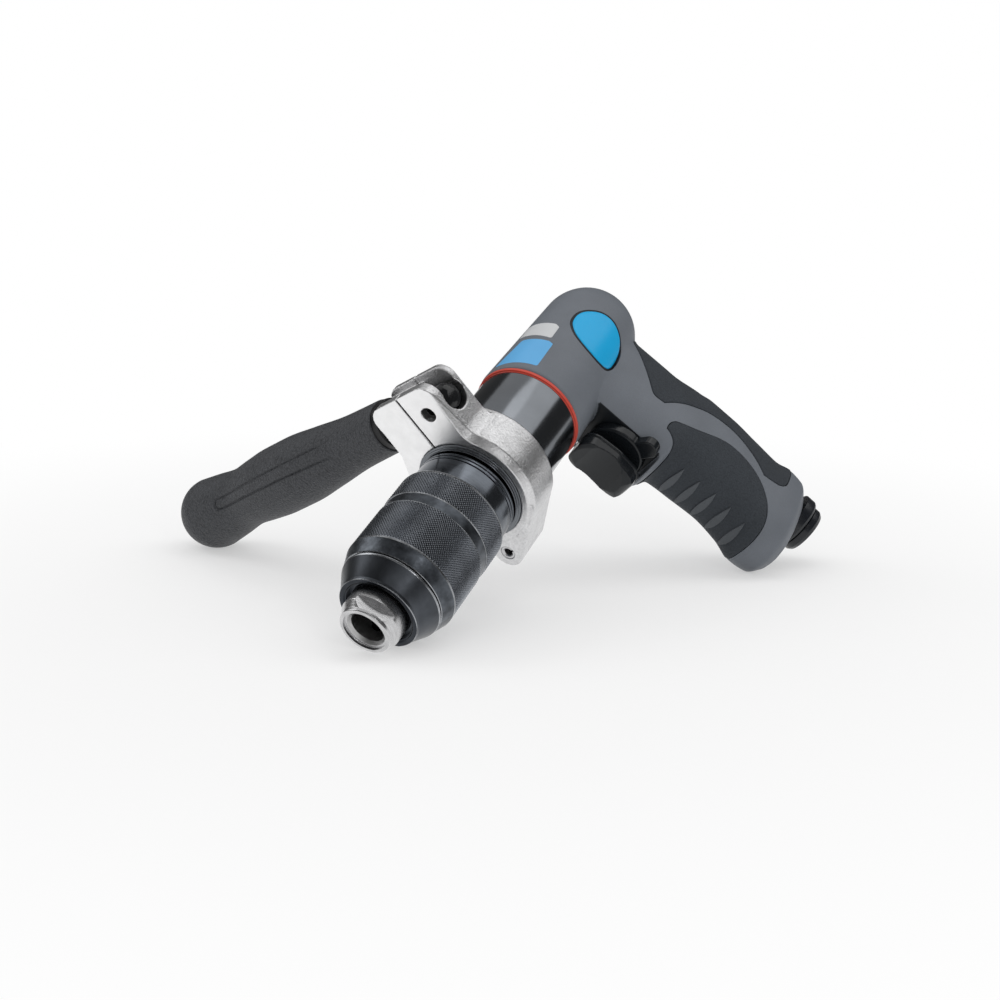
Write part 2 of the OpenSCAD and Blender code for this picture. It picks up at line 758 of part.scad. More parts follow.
// Soft pad: the grip's own skin inside an outline
module pad_skin() {
    skin_gap = 0.12;
    proud = 0.25;
    difference() {
        intersection() {
            across_x(-grip_w, grip_w) offset(delta = -skin_gap) children();
            grip_form(proud);
        }
        grip_form(skin_gap - pad_t);
    }
}

// Crescent, w wide and h high
module crescent(w, h) {
    r = (w * w + h * h) / (4 * h);
    intersection() {
        translate([0, r - h / 2]) circle(r = r);
        translate([0, h / 2 - r]) circle(r = r);
    }
}

module grip_pad() {
    rib_w = 24;
    rib_h = 4;
    rib_pitch = 8.4;
    rib_count = 5;
    rib_proud = 0.7;
    color("#3a3b3e") lay_down() union() {
        pad_skin() grip_pad_outline();
        intersection() {
            difference() {
                grip_form(rib_proud);
                grip_form(-pad_t / 2);
            }
            for (k = [0:rib_count - 1]) translate([0, 0, ledge_z - 12 - k * rib_pitch])
                along_y(grip_y0 - 10, grip_y0 + 12) crescent(rib_w, rib_h);
        }
    }
}

module spine_pad() {
    barrel_gap = 0.3;
    color("#3a3b3e") lay_down() difference() {
        pad_skin() spine_pad_outline();
        barrel_form(barrel_gap, $fn = 40);
    }
}

module trim_ring() {
    color("#d9503f") lay_down() tube(motor_d / 2 + trim_room, neck_r + trim_proud, trim_y, house_y);
}

module badge() {
    badge_back = 0.75;
    badge_proud = 0.3;
    color("#1e9be0") lay_down() intersection() {
        across_x(0, barrel_d) badge_outline(0);
        difference() {
            barrel_form(badge_proud);
            barrel_form(-badge_back);
        }
    }
}

// Trigger and valve

module trigger() {
    scoop_r = 30;
    scoop_depth = 2.4;
    nose_curve = 18;
    corner = 5;
    bottom = trigger_top_z - trigger_h;
    depth = trigger_back_y - trigger_front_y;
    half = trigger_w / 2;
    color("#232325") lay_down() difference() {
        intersection() {
            across_x(-half, half) difference() {
                union() {
                    translate([trigger_front_y, bottom + corner]) square([depth, trigger_h - corner]);
                    translate([trigger_front_y + corner, bottom]) square([depth - corner, trigger_h]);
                    translate([trigger_front_y + corner, bottom + corner]) circle(r = corner);
                }
                translate([trigger_front_y + scoop_depth - scoop_r, trigger_z + 1.5]) circle(r = scoop_r);
            }
            along_y(trigger_front_y - 1, trigger_back_y) union() {
                translate([-half, bottom + corner]) square([trigger_w, trigger_h - corner]);
                translate([corner - half, bottom]) square([trigger_w - 2 * corner, trigger_h]);
                for (side = [-1, 1]) translate([side * (half - corner), bottom + corner]) circle(r = corner);
            }
            translate([0, 0, bottom - 1]) linear_extrude(trigger_h + 2) union() {
                translate([0, trigger_front_y + nose_curve]) circle(r = nose_curve);
                translate([-nose_curve, trigger_front_y + nose_curve]) square([2 * nose_curve, nose_curve]);
            }
        }
        translate([0, 0, trigger_z]) rod(rod_r + seated, trigger_back_y - rod_seat, trigger_back_y + 1);
    }
}

module trigger_rod() {
    color("#c9cbce") lay_down() translate([0, 0, trigger_z])
        rod(rod_r, trigger_back_y - rod_seat, seat_y + seat_t + 0.2);
}

module throttle_valve() {
    color("#c08a3a") lay_down() translate([0, 0, trigger_z]) union() {
        rod(poppet_r, seat_y + seat_t + 0.2, seat_y + seat_t + 0.2 + poppet_t);
        rod(rod_r, seat_y + seat_t + poppet_t, seat_y + seat_t + poppet_t + 4);
    }
}

module valve_seat() {
    color("#b98d45") lay_down() translate([0, 0, trigger_z])
        tube(rod_r + 1.4, bushing_bore_r - seated, seat_y, seat_y + seat_t);
}

// Coil spring swept as one tube
spring_y0 = seat_y + seat_t + poppet_t + 0.5;
spring_y1 = bushing_end_y - bushing_floor - 0.1;
spring_r = 4.2;
spring_steps = 10;
spring_sides = 6;
function spring_at(i) = let (
    count = spring_turns * spring_steps,
    rise = spring_y1 - spring_y0 - 2 * spring_wire_r,
    a = 360 * i / spring_steps
) [spring_r * cos(a), spring_y0 + spring_wire_r + rise * i / count, trigger_z + spring_r * sin(a)];
function spring_ring(i) = let (
    c = spring_at(i),
    out = unit([c[0], 0, c[2] - trigger_z]),
    run = unit(spring_at(i + 0.5) - spring_at(i - 0.5)),
    side = cross(run, out)
) [for (k = [0:spring_sides - 1]) let (a = 360 * k / spring_sides)
    c + spring_wire_r * (cos(a) * out + sin(a) * side)];
module valve_spring() {
    last = spring_turns * spring_steps;
    points = [for (i = [0:last]) each spring_ring(i)];
    walls = [for (i = [0:last - 1]) for (k = [0:spring_sides - 1]) let (
        a = i * spring_sides + k,
        b = i * spring_sides + (k + 1) % spring_sides
    ) each [[a, b, b + spring_sides], [a, b + spring_sides, a + spring_sides]]];
    ends = [
        [for (k = [spring_sides - 1:-1:0]) k],
        [for (k = [0:spring_sides - 1]) last * spring_sides + k]
    ];
    color("#a9abad") lay_down() polyhedron(points, concat(walls, ends));
}

module valve_bushing() {
    port_r = 3;
    color("#c8b27a") lay_down() translate([0, 0, trigger_z]) difference() {
        rod(bushing_r, bushing_y, bushing_end_y);
        rod(bushing_bore_r, bushing_y - 1, bushing_end_y - bushing_floor);
        translate([0, inlet_y, -bushing_r - 1]) cylinder(r = port_r, h = bushing_r + 1);
    }
}

module reverse_lever() {
    tab_back = drum_t - 0.4;
    drum_edge = 0.7;
    color("#161618") lay_down() translate([0, 0, trigger_z]) difference() {
        union() {
            around_y() polygon([
                [0, drum_y], [drum_r - drum_edge, drum_y], [drum_r, drum_y + drum_edge],
                [drum_r, drum_y + drum_t], [0, drum_y + drum_t]
            ]);
            rotate([0, reverse_half_throw, 0]) along_y(drum_y + drum_t - tab_back, drum_y + drum_t) union() {
                translate([-tab_reach + 1.5, -tab_h / 2]) square([2 * tab_reach - 3, tab_h]);
                translate([-tab_reach, -tab_h / 2 + 1.5]) square([2 * tab_reach, tab_h - 3]);
                for (sx = [-1, 1]) for (sz = [-1, 1])
                    translate([sx * (tab_reach - 1.5), sz * (tab_h / 2 - 1.5)]) circle(r = 1.5);
            }
        }
        rod(rod_r + rod_room, drum_y - 1, drum_y + drum_t + 1);
    }
}

module reverse_spool() {
    window = 5;
    color("#b7b9bc") lay_down() translate([0, 0, trigger_z]) difference() {
        rod(bushing_bore_r - running, drum_y + drum_t, bushing_y + spool_len);
        rod(rod_r + rod_room, drum_y, bushing_y + spool_len + 1);
        translate([0, bushing_y + spool_len - 3.5, -bushing_r]) cylinder(r = window / 2, h = bushing_r);
    }
}

module inlet_bushing() {
    groove = 1.2;
    groove_w = 3;
    edge = 1;
    color("#17171a") lay_down() translate([0, inlet_y, 0]) rotate_extrude() polygon([
        [inlet_thread_d / 2, grip_z - inlet_len], [inlet_d / 2 - edge, grip_z - inlet_len],
        [inlet_d / 2, grip_z - inlet_len + edge], [inlet_d / 2, grip_z - groove_w - 1.6],
        [inlet_d / 2 - groove, grip_z - groove_w - 1.6], [inlet_d / 2 - groove, grip_z - 1.6],
        [inlet_d / 2, grip_z - 1.6], [inlet_d / 2, grip_z - 0.1], [inlet_neck_r, grip_z - 0.1],
        [inlet_neck_r, grip_z + inlet_seat_len], [inlet_thread_d / 2 - inlet_step, grip_z + inlet_seat_len],
        [inlet_thread_d / 2 - inlet_step, inlet_step_z], [inlet_thread_d / 2, inlet_step_z]
    ]);
}

module inlet_screen() {
    screen_t = 1;
    hole_r = 0.6;
    pitch = 1.5;
    color("#a8a16c") lay_down() translate([0, inlet_y, inlet_step_z + 1]) difference() {
        cylinder(r = inlet_thread_d / 2 - inlet_step - seated, h = screen_t);
        for (ring = [0:2]) for (k = [0:max(0, ring * 6 - 1)])
            rotate([0, 0, 360 * k / max(1, ring * 6)]) translate([ring * pitch, 0, -1])
                cylinder(r = hole_r, h = 3, $fn = 16);
    }
}

module exhaust_muffler() {
    core_r = 2.5;
    color("#8c857a") lay_down() translate([0, exhaust_y, grip_z + 0.4]) difference() {
        cylinder(r = muffler_r, h = muffler_len);
        translate([0, 0, -1]) cylinder(r = core_r, h = muffler_len - 3);
    }
}

// Side handle and its clamp

module in_clamp() {
    rotate([0, clamp_turn, 0]) children();
}

// Block beside the split, from x0 to x1, with its outer upper corner rounded about corner_x
module lug_outline(x0, x1, z0, corner_x) {
    round_x = corner_x > 0 ? x1 - lug_corner : x0 + lug_corner;
    translate([x0, z0]) square([x1 - x0, lug_top - lug_corner - z0]);
    translate([corner_x > 0 ? x0 : round_x, z0]) square([x1 - x0 - lug_corner, lug_top - z0]);
    translate([round_x, lug_top - lug_corner]) circle(r = lug_corner);
}

// Web that rounds the inner corner between the right block and the band
module lug_fillet() {
    reach_r = clamp_r + lug_fillet_r;
    fillet_x = lug_right + lug_fillet_r;
    fillet_z = sqrt(reach_r * reach_r - fillet_x * fillet_x);
    root_x = lug_right - 2;
    difference() {
        polygon([
            [root_x, clamp_bore_r / 2], [fillet_x, fillet_z] * clamp_r / reach_r,
            [fillet_x, fillet_z], [root_x, fillet_z]
        ]);
        translate([fillet_x, fillet_z]) circle(r = lug_fillet_r);
    }
}

module knuckle(grow) {
    translate([hinge_x, hinge_z]) circle(r = knuckle_r + grow);
}

// Bored and bevelled band of the clamp
module clamp_band() {
    bevel = 1.6;
    around_y() polygon([
        [clamp_bore_r, clamp_y], [clamp_r - bevel, clamp_y], [clamp_r, clamp_y + 2 * bevel],
        [clamp_r, clamp_y + clamp_w - bevel / 2], [clamp_r - bevel / 2, clamp_y + clamp_w],
        [clamp_bore_r, clamp_y + clamp_w]
    ]);
}

// What is cut from both halves: neck bore, hinge pin hole, bolt hole, channel between the ears
module clamp_cuts() {
    wide = 2 * (lug_left + lug_right);
    rod(clamp_bore_r, clamp_y - 1, clamp_y + clamp_w + 1);
    translate([hinge_x, 0, hinge_z]) rod(hinge_pin_r + 0.02, clamp_y - 1, clamp_y + clamp_w + 1);
    translate([-wide / 2, handle_y, handle_offset]) rotate([0, 90, 0]) cylinder(r = bolt_r + 0.1, h = wide);
    translate([-wide / 2, clamp_y + ear_t, lug_top - channel_depth])
        cube([wide, lug_w - ear_t - rear_ear_t, channel_depth + 1]);
}

module clamp_right() {
    recess_r = bolt_head_r + 0.3;
    far = 2 * clamp_r;
    color("#c9cacc") lay_down() in_clamp() difference() {
        union() {
            difference() {
                clamp_band();
                along_y(clamp_y - 1, clamp_y + clamp_w + 1) union() {
                    translate([split_gap / 2 - far, 0]) square(far);
                    translate([hinge_x - far, -far]) square(far);
                }
            }
            along_y(clamp_y, clamp_y + lug_w) union() {
                lug_outline(split_gap / 2, lug_right, clamp_bore_r / 2, 1);
                lug_fillet();
            }
            along_y(clamp_y, clamp_y + clamp_w) difference() {
                hull() {
                    knuckle(0);
                    translate([3, 3 - clamp_r]) circle(r = 3);
                }
                circle(r = clamp_r - 1);
            }
        }
        clamp_cuts();
        along_y(clamp_y + hinge_ear_t, clamp_y + clamp_w - hinge_ear_t) knuckle(knuckle_gap);
        translate([bolt_seat, handle_y, handle_offset]) rotate([0, 90, 0])
            cylinder(r = recess_r, h = lug_right);
        translate([bolt_seat, clamp_y + ear_t, handle_offset])
            cube([lug_right, lug_w - ear_t - rear_ear_t, lug_top]);
        translate([rod_hole_x, 0, handle_offset]) rod(rod_hole_d / 2, clamp_y - 1, clamp_y + clamp_w + 1);
    }
}

module clamp_left() {
    far = 2 * clamp_r;
    shoulder = 0.8;
    color("#dfe0e2") lay_down() in_clamp() difference() {
        union() {
            difference() {
                clamp_band();
                along_y(clamp_y - 1, clamp_y + clamp_w + 1) union() {
                    translate([-split_gap / 2, 0]) square(far);
                    translate([hinge_x - split_gap, -far]) square(far);
                    knuckle(knuckle_gap);
                }
            }
            along_y(clamp_y, clamp_y + lug_w) union() {
                lug_outline(-lug_left, -split_gap / 2, clamp_bore_r / 2, -1);
                polygon([
                    [-lug_left, handle_offset - 10], [shoulder - clamp_r, 8], [-lug_left / 2, 8],
                    [-lug_left / 2, handle_offset - 10]
                ]);
            }
            along_y(clamp_y + hinge_ear_t + knuckle_gap, clamp_y + clamp_w - hinge_ear_t - knuckle_gap)
                difference() {
                    hull() {
                        knuckle(0);
                        translate([hinge_x - 8, 8 - clamp_r]) circle(r = 3);
                    }
                    circle(r = clamp_r - 1);
                }
        }
        clamp_cuts();
    }
}

module hinge_pin() {
    slot_w = 1;
    color("#b3b4b6") lay_down() in_clamp() translate([hinge_x, 0, hinge_z]) difference() {
        tube(hinge_pin_r - 0.9, hinge_pin_r, clamp_y + 0.3, clamp_y + clamp_w - 0.3);
        translate([0, clamp_y - 1, -slot_w / 2]) cube([hinge_pin_r + 1, clamp_w + 2, slot_w]);
    }
}

// Things on the handle's axis, drawn along +Z from the split
module on_handle_axis() {
    in_clamp() translate([0, handle_y, handle_offset]) rotate([0, -90, 0]) children();
}

// Eye bolt: the depth rod passes through its head, and the handle pulls it tight
module clamp_bolt() {
    head_end = bolt_seat + bolt_head_t;
    edge = 0.8;
    color("#1a1a1c") lay_down() difference() {
        on_handle_axis() rotate_extrude() polygon([
            [0, -head_end], [bolt_head_r - edge, -head_end], [bolt_head_r, edge - head_end],
            [bolt_head_r, -bolt_seat], [bolt_r, -bolt_seat],
            [bolt_r, handle_start + insert_len], [0, handle_start + insert_len]
        ]);
        in_clamp() translate([rod_hole_x, 0, handle_offset]) rod(rod_hole_d / 2, clamp_y, clamp_y + clamp_w);
    }
}

module handle_insert() {
    color("#b58f45") lay_down() on_handle_axis() translate([0, 0, handle_start + 1]) difference() {
        cylinder(r = insert_r, h = insert_len);
        translate([0, 0, -1]) cylinder(r = bolt_r + 0.06, h = insert_len + 2);
    }
}

// Smooth curve through a list of points
function spline_at(p, i, t) = let (
    a = p[max(i - 1, 0)], b = p[i], c = p[i + 1], d = p[min(i + 2, len(p) - 1)]
) ((2 * b) + (c - a) * t + (2 * a - 5 * b + 4 * c - d) * t * t + (3 * b - a - 3 * c + d) * t * t * t) / 2;
function spline(p, steps) = concat(
    [for (i = [0:len(p) - 2]) for (k = [0:steps - 1]) spline_at(p, i, k / steps)], [p[len(p) - 1]]
);

module side_handle() {
    profile = spline(HANDLE, 4);
    end_steps = 10;
    edge = 0.8;
    color("#2e2f31") lay_down() on_handle_axis() difference() {
        rotate_extrude() polygon(concat(
            [[0, handle_start], [HANDLE[0][1] - edge, handle_start], [HANDLE[0][1], handle_start + edge]],
            [for (i = [1:len(profile) - 1]) [profile[i][1], profile[i][0]]],
            [for (k = [1:end_steps]) let (a = 90 * k / end_steps)
                [bulb_r * cos(a), bulb_t + bulb_r * sin(a)]]
        ));
        translate([0, 0, handle_start - 1]) cylinder(r = insert_r + seated, h = insert_len + 2.1);
        translate([0, 0, handle_start]) cylinder(r = bolt_r + 0.2, h = insert_len + 12);
    }
}

chuck_body();
nose_cone();
chuck_sleeve();
chuck_nut();
chuck_collar();
chuck_screw();
jaw_1();
jaw_2();
jaw_3();
gear_case();
ring_gear();
spindle();
spindle_bearing();
spindle_pins();
front_planet_1();
front_planet_2();
front_planet_3();
planet_carrier();
carrier_pins();
rear_planet_1();
rear_planet_2();
rear_planet_3();
motor_front_plate();
motor_front_bearing();
motor_cylinder();
rotor();
vanes();
motor_rear_plate();
motor_rear_bearing();
housing();
trim_ring();
badge();
spine_pad();
grip_pad();
trigger();
trigger_rod();
throttle_valve();
valve_seat();
valve_spring();
valve_bushing();
reverse_lever();
reverse_spool();
inlet_bushing();
inlet_screen();
exhaust_muffler();
clamp_left();
clamp_right();
hinge_pin();
clamp_bolt();
handle_insert();
side_handle();
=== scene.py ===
"""Dressed air drill: smooth housing and pads, knurled chuck, cast clamp and grained side handle."""
import json
import math
import bmesh
import bpy
import numpy as np
from mathutils import Matrix, Vector


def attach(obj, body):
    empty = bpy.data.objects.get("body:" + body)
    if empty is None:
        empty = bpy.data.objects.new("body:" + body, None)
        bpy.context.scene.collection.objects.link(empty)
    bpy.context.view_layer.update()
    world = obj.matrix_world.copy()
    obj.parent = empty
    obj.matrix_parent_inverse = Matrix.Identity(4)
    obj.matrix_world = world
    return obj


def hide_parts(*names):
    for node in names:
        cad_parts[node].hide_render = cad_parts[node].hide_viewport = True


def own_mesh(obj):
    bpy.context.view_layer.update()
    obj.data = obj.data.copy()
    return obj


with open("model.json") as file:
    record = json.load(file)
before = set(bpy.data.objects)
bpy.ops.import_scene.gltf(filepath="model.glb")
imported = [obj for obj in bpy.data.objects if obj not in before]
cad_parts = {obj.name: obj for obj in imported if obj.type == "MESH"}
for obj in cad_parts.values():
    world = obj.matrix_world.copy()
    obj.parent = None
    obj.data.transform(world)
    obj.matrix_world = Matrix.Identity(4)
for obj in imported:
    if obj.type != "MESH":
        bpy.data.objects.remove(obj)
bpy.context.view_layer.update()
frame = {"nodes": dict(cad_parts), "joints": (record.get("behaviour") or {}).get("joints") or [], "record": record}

# The tool frame in the row frame: origin at the chuck nose, +Y along the spindle, +Z away from the grip
JOINTS = {j["name"]: j for j in frame["joints"]}
MOUNTS = {m["name"]: m for m in frame["record"]["mounts"]}
ORIGIN = np.array(JOINTS["spindle_spin"]["pos_m"])
AXIS_Y = np.array(JOINTS["spindle_spin"]["axis"])
AXIS_Z = -np.array(MOUNTS["air_inlet"]["axis"])
AXES = np.array([np.cross(AXIS_Y, AXIS_Z), AXIS_Y, AXIS_Z])
MM = 0.001

# Sizes in millimetres, most of them the part's own; _Y are stations along the spindle, _Z heights over it
CHUCK_R = 22.0
NOSE_R = 9.6
NOSE_BASE_R = 11.5
FLAT_TURN = math.radians(18)
SHANK_R = 6.5
JAW_R = 3.45
JAW_LEAN = math.radians(17)
CONE_Y = 9.4
CONE_LEN = 9.3
CONE_R = 15.5
CONE_BORE_R = 13.06
SLEEVE_Y = 19.1
SLEEVE_LEN = 44.6
KNURL_COLUMNS = 240
KNURL_PITCH = 0.575
KNURL_DEPTH = 0.52
COLLAR_Y = 64.1
COLLAR_LEN = 12.2
COLLAR_R = 20.0
COLLAR_BORE_R = 17.06
CASE_Y = 77.4
CASE_R = 21.5
CASE_WALL_Y = 80.4
CASE_BORE_R = 18.56
SPINDLE_HOLE_R = 8.1
BEARING_Y = 81.4
BEARING_SEAT_R = 17.56
RING_GEAR_Y = 93.2
TRIM_Y = 127.3
TRIM_BORE_R = 18.6
HOUSE_Y = 129.1
DOME_Y = 186.1
BARREL_R = 22.5
DOME_R = 20.7
MOTOR_BORE_R = 18.15
MOTOR_BORE_END = 180.2
GRIP_Y0 = 152.3
GRIP_Y1 = 197.9
GRIP_HALF = 17.5
GRIP_TOP_Z = -18.0
GRIP_Z = -116.6
LEDGE_Z = -52.0
RECESS_Y = 148.3
POCKET_DEPTH = 2.4
PAD_DEPTH = 2.25
PAD_GAP = 0.3
PAD_PROUD = 0.25
RIB_PITCH = 8.4
TRIGGER_Z = -37.5
TRIGGER_TOP_Z = -23.3
TRIGGER_BACK_Y = 138.4
VALVE_BORE_R = 9.15
VALVE_BORE_END = 189.2
SPRING_R = 4.2
LEVER_TURN = math.radians(30)
INLET_Y = 184.4
INLET_R = 10.8
INLET_LEN = 10.0
INLET_BORE_R = 5.725
AIR_WAY_R = 4.5
EXHAUST_Y = 163.29
EXHAUST_R = 6.15
CLAMP_TURN = math.radians(15)
CLAMP_Y = 79.1
CLAMP_W = 19.4
CLAMP_R = 25.85
LUG_RIGHT = 17.0
WEB_R = 9.0
HINGE_X = -6.0
HINGE_Z = -30.0
PIN_R = 3.0
BOLT_R = 3.0
ROD_X = 8.8
ROD_R = 3.0
HANDLE_Y = 88.6
HANDLE_OFFSET = 34.0
HANDLE_START = 17.7
HANDLE_BORE_R = 5.56
HANDLE_BORE_LEN = 22.0
BULB_R = 15.8
BULB_T = 148.7

# Stretches that pass right through the clamp, the trigger and the lever
CLAMP_SPAN = (70, 110)
TRIGGER_SPAN = (120, 160)
LEVER_SPAN = (130, 160)


def place(points):
    """Tool millimetres to row metres."""
    return np.asarray(points, float) * MM @ AXES + ORIGIN


def to_mm(points):
    """Row metres to tool millimetres."""
    return (points - ORIGIN) @ AXES.T / MM


def direction(x, y, z):
    """A direction of the tool frame in the row frame."""
    return Vector(np.array([x, y, z], float) @ AXES).normalized()


def about_spindle(points, angle):
    x, y, z = np.asarray(points, float).T
    c, s = math.cos(angle), math.sin(angle)
    return np.stack([x * c + z * s, y, z * c - x * s], 1)


# Materials

def node(tree, kind, inputs=(), output=0, **settings):
    """Output of a new shader node; an input is a value or another node's output."""
    made = tree.nodes.new("ShaderNode" + kind)
    for key, value in settings.items():
        setattr(made, key, value)
    for key, value in dict(inputs).items():
        if isinstance(value, bpy.types.NodeSocket):
            tree.links.new(value, made.inputs[key])
        else:
            made.inputs[key].default_value = value
    return made.outputs[output]


def new_material(name, inputs):
    """A material, its node tree and its shader with some inputs set."""
    mat = bpy.data.materials.new(name)
    mat.use_nodes = True
    shader = mat.node_tree.nodes["Principled BSDF"]
    for key, value in inputs.items():
        shader.inputs[key].default_value = value
    return mat, mat.node_tree, shader


def node_material(name, color, rough, metallic=0.0, specular=0.5, mottle=0.06, mottle_size=60.0,
                  rough_span=0.06, rough_size=900.0, grain="noise", scale=2500.0, depth=0.02, tint=0.0,
                  stretch=(1, 1, 1)):
    """Material with uneven colour, uneven gloss and a fine grain of some scale, depth (mm) and tint."""
    mat, tree, shader = new_material(name, {"Metallic": metallic, "Specular IOR Level": specular})
    where = node(tree, "TexCoord", output="Object")
    turned = node(tree, "Mapping", {"Vector": where, "Rotation": Matrix(AXES.tolist()).to_euler()})
    spread = node(tree, "Mapping", {"Vector": turned, "Scale": stretch})

    def noise(fineness, detail=3.0):
        return node(tree, "TexNoise", {"Vector": spread, "Scale": fineness, "Detail": detail})

    tone = node(tree, "ValToRGB", {"Fac": noise(mottle_size)})
    for element, position, gain in zip(tone.node.color_ramp.elements, (0.3, 0.7), (1 - mottle, 1 + mottle)):
        element.position = position
        element.color = [min(1.0, c * gain) for c in color] + [1.0]
    gloss = node(tree, "MapRange", {"Value": noise(rough_size), "To Min": max(0.02, rough - rough_span),
                                    "To Max": min(1.0, rough + rough_span)})
    tree.links.new(gloss, shader.inputs["Roughness"])

    if depth:
        if grain == "cells":
            height = node(tree, "TexVoronoi", {"Vector": spread, "Scale": scale}, feature="SMOOTH_F1")
            low, high = 0.75, 0.1
        else:
            height = noise(scale, 2.0)
            low, high = 0.25, 0.75
        skin = node(tree, "MapRange", {"Value": height, "From Min": low, "From Max": high})
        bump = node(tree, "Bump", {"Strength": 1.0, "Distance": depth * MM, "Height": skin})
        tree.links.new(bump, shader.inputs["Normal"])
        if tint:
            gain = node(tree, "MapRange", {"Value": skin, "To Min": 1 - tint, "To Max": 1 + tint})
            tone = node(tree, "VectorMath", {0: tone, "Scale": gain}, operation="SCALE")
    tree.links.new(tone, shader.inputs["Base Color"])
    return mat


def metal(name, color, rough, **more):
    return node_material(name, color, rough, metallic=1.0, **more)


def plastic(name, color, rough, specular=0.3, **more):
    return node_material(name, color, rough, specular=specular, **more)


MAT = {
    "housing": plastic("satin_grey", (0.150, 0.164, 0.186), 0.5, scale=2400, depth=0.035, tint=0.06),
    "pad": plastic("soft_charcoal", (0.041, 0.047, 0.055), 0.75, specular=0.25, grain="cells", scale=1700,
                   depth=0.12, tint=0.16),
    "rib": plastic("soft_grey", (0.082, 0.09, 0.1), 0.6, scale=2400, depth=0.03, tint=0.06),
    "gloss": metal("black_chrome", (0.163, 0.173, 0.187), 0.16, mottle=0.1, rough_span=0.03, scale=400,
                   depth=0.002),
    "collar": metal("black_polished", (0.125, 0.137, 0.155), 0.2, mottle=0.12, stretch=(1, 14, 1),
                    scale=260, depth=0.003),
    "knurl": metal("black_oxide", (0.235, 0.25, 0.275), 0.27, mottle=0.2, rough_span=0.08, depth=0.0),
    "sleeve_band": metal("black_worn", (0.085, 0.094, 0.107), 0.34, mottle=0.4, mottle_size=260,
                         rough_span=0.12, scale=900),
    # worn_highlight_edge: rims brighter than the black, partly real wear and partly a painted highlight along the
    # edge
    "worn_highlight_edge": metal("worn_highlight_edge", (0.27, 0.28, 0.295), 0.28, mottle=0.5, mottle_size=190,
                       rough_span=0.1, depth=0.01),
    "cone": metal("black_bright", (0.068, 0.074, 0.084), 0.36, mottle=0.25, mottle_size=120, scale=500,
                  depth=0.002),
    # cone_face_shade: darker copy of the cone's black, painted shade on the forward faces and the bore
    "cone_face_shade": metal("cone_painted_shade", (0.03, 0.034, 0.041), 0.2, mottle=0.25, mottle_size=120, scale=500,
                       depth=0.002),
    "steel": metal("turned_steel", (0.56, 0.56, 0.567), 0.28, mottle=0.12, mottle_size=300,
                   rough_span=0.1, stretch=(1, 9, 1), scale=260, depth=0.01),
    "bored": metal("bored_steel", (0.5, 0.5, 0.5), 0.36, mottle=0.15, mottle_size=300, rough_span=0.1,
                   depth=0.01),
    "gear": metal("ground_steel", (0.5, 0.5, 0.51), 0.3, depth=0.006),
    "bearing": metal("bearing_steel", (0.75, 0.75, 0.77), 0.12, depth=0.0),
    "iron": metal("machined_iron", (0.36, 0.35, 0.34), 0.42, depth=0.015),
    "vane": node_material("phenolic", (0.23, 0.12, 0.06), 0.55),
    "cast": metal("cast_alloy", (0.65, 0.65, 0.657), 0.37, mottle=0.07, mottle_size=180,
                  rough_span=0.12, rough_size=700, scale=1300, depth=0.07, tint=0.12),
    "machined": metal("milled_alloy", (0.88, 0.88, 0.885), 0.34, mottle=0.04, mottle_size=200,
                      rough_span=0.08, scale=1500),
    "handle": plastic("black_grained", (0.052, 0.0545, 0.060), 0.55, grain="cells", scale=1250,
                      depth=0.26, tint=0.35),
    "handle_end": plastic("black_smooth", (0.008, 0.008, 0.009), 0.4, depth=0.01),
    "black": plastic("black_nylon", (0.0085, 0.0102, 0.0122), 0.2, specular=0.27, scale=2200, depth=0.008),
    "bolt": plastic("black_steel", (0.008, 0.0085, 0.0095), 0.12, specular=0.4, depth=0.006),
    "inlet": plastic("black_anodised", (0.010, 0.012, 0.016), 0.26, specular=0.4, depth=0.01),
    # recess: black painted shade for the housing wall deep in the recess behind the trigger
    "recess": plastic("black_painted_shade", (0.012, 0.014, 0.0165), 0.4, scale=2400),
    "thumb": plastic("black_matt", (0.0135, 0.0158, 0.018), 0.42, scale=2200, depth=0.015),
    "coral": plastic("coral_red", (0.60, 0.070, 0.045), 0.38, depth=0.01),
    "azure": plastic("azure", (0.005, 0.39, 0.74), 0.32, mottle=0.03, depth=0.003),
    "dark_rim": plastic("dark_rim", (0.016, 0.0175, 0.020), 0.45, depth=0.01),
    "silver_film": plastic("silver_film", (0.60, 0.61, 0.62), 0.36, mottle=0.04, depth=0.003),
    "blue_film": plastic("pale_blue_film", (0.12, 0.42, 0.76), 0.36, mottle=0.04, depth=0.003),
    "brass": metal("turned_brass", (0.70, 0.50, 0.2), 0.3, depth=0.006),
    "spring": metal("spring_wire", (0.55, 0.55, 0.56), 0.3, depth=0.006),
    "felt": node_material("muffler_felt", (0.33, 0.31, 0.28), 0.9, scale=1500, depth=0.2),
}

# The CAD nodes that no piece replaces: what is inside the tool
INSIDE = {
    "gear": ["chuck_nut", "jaw_1", "jaw_2", "jaw_3", "ring_gear", "spindle", "planet_carrier", "rotor",
             *[f"{stage}_planet_{k}" for stage in ("front", "rear") for k in (1, 2, 3)]],
    "bearing": ["spindle_bearing", "motor_front_bearing", "motor_rear_bearing", "spindle_pins",
                "carrier_pins", "trigger_rod"],
    "iron": ["motor_front_plate", "motor_cylinder", "motor_rear_plate"],
    "vane": ["vanes"],
    "brass": ["throttle_valve", "valve_seat", "valve_bushing", "inlet_screen", "handle_insert",
              "reverse_spool"],
    "felt": ["exhaust_muffler"],
    "bolt": ["chuck_screw"],
}


def paint(obj, look):
    obj.data.materials.clear()
    obj.data.materials.append(MAT[look])


for inside_look, node_names in INSIDE.items():
    for node_name in node_names:
        paint(frame["nodes"][node_name], inside_look)


# Meshes: worked in tool-frame millimetres and placed in the row frame at the end

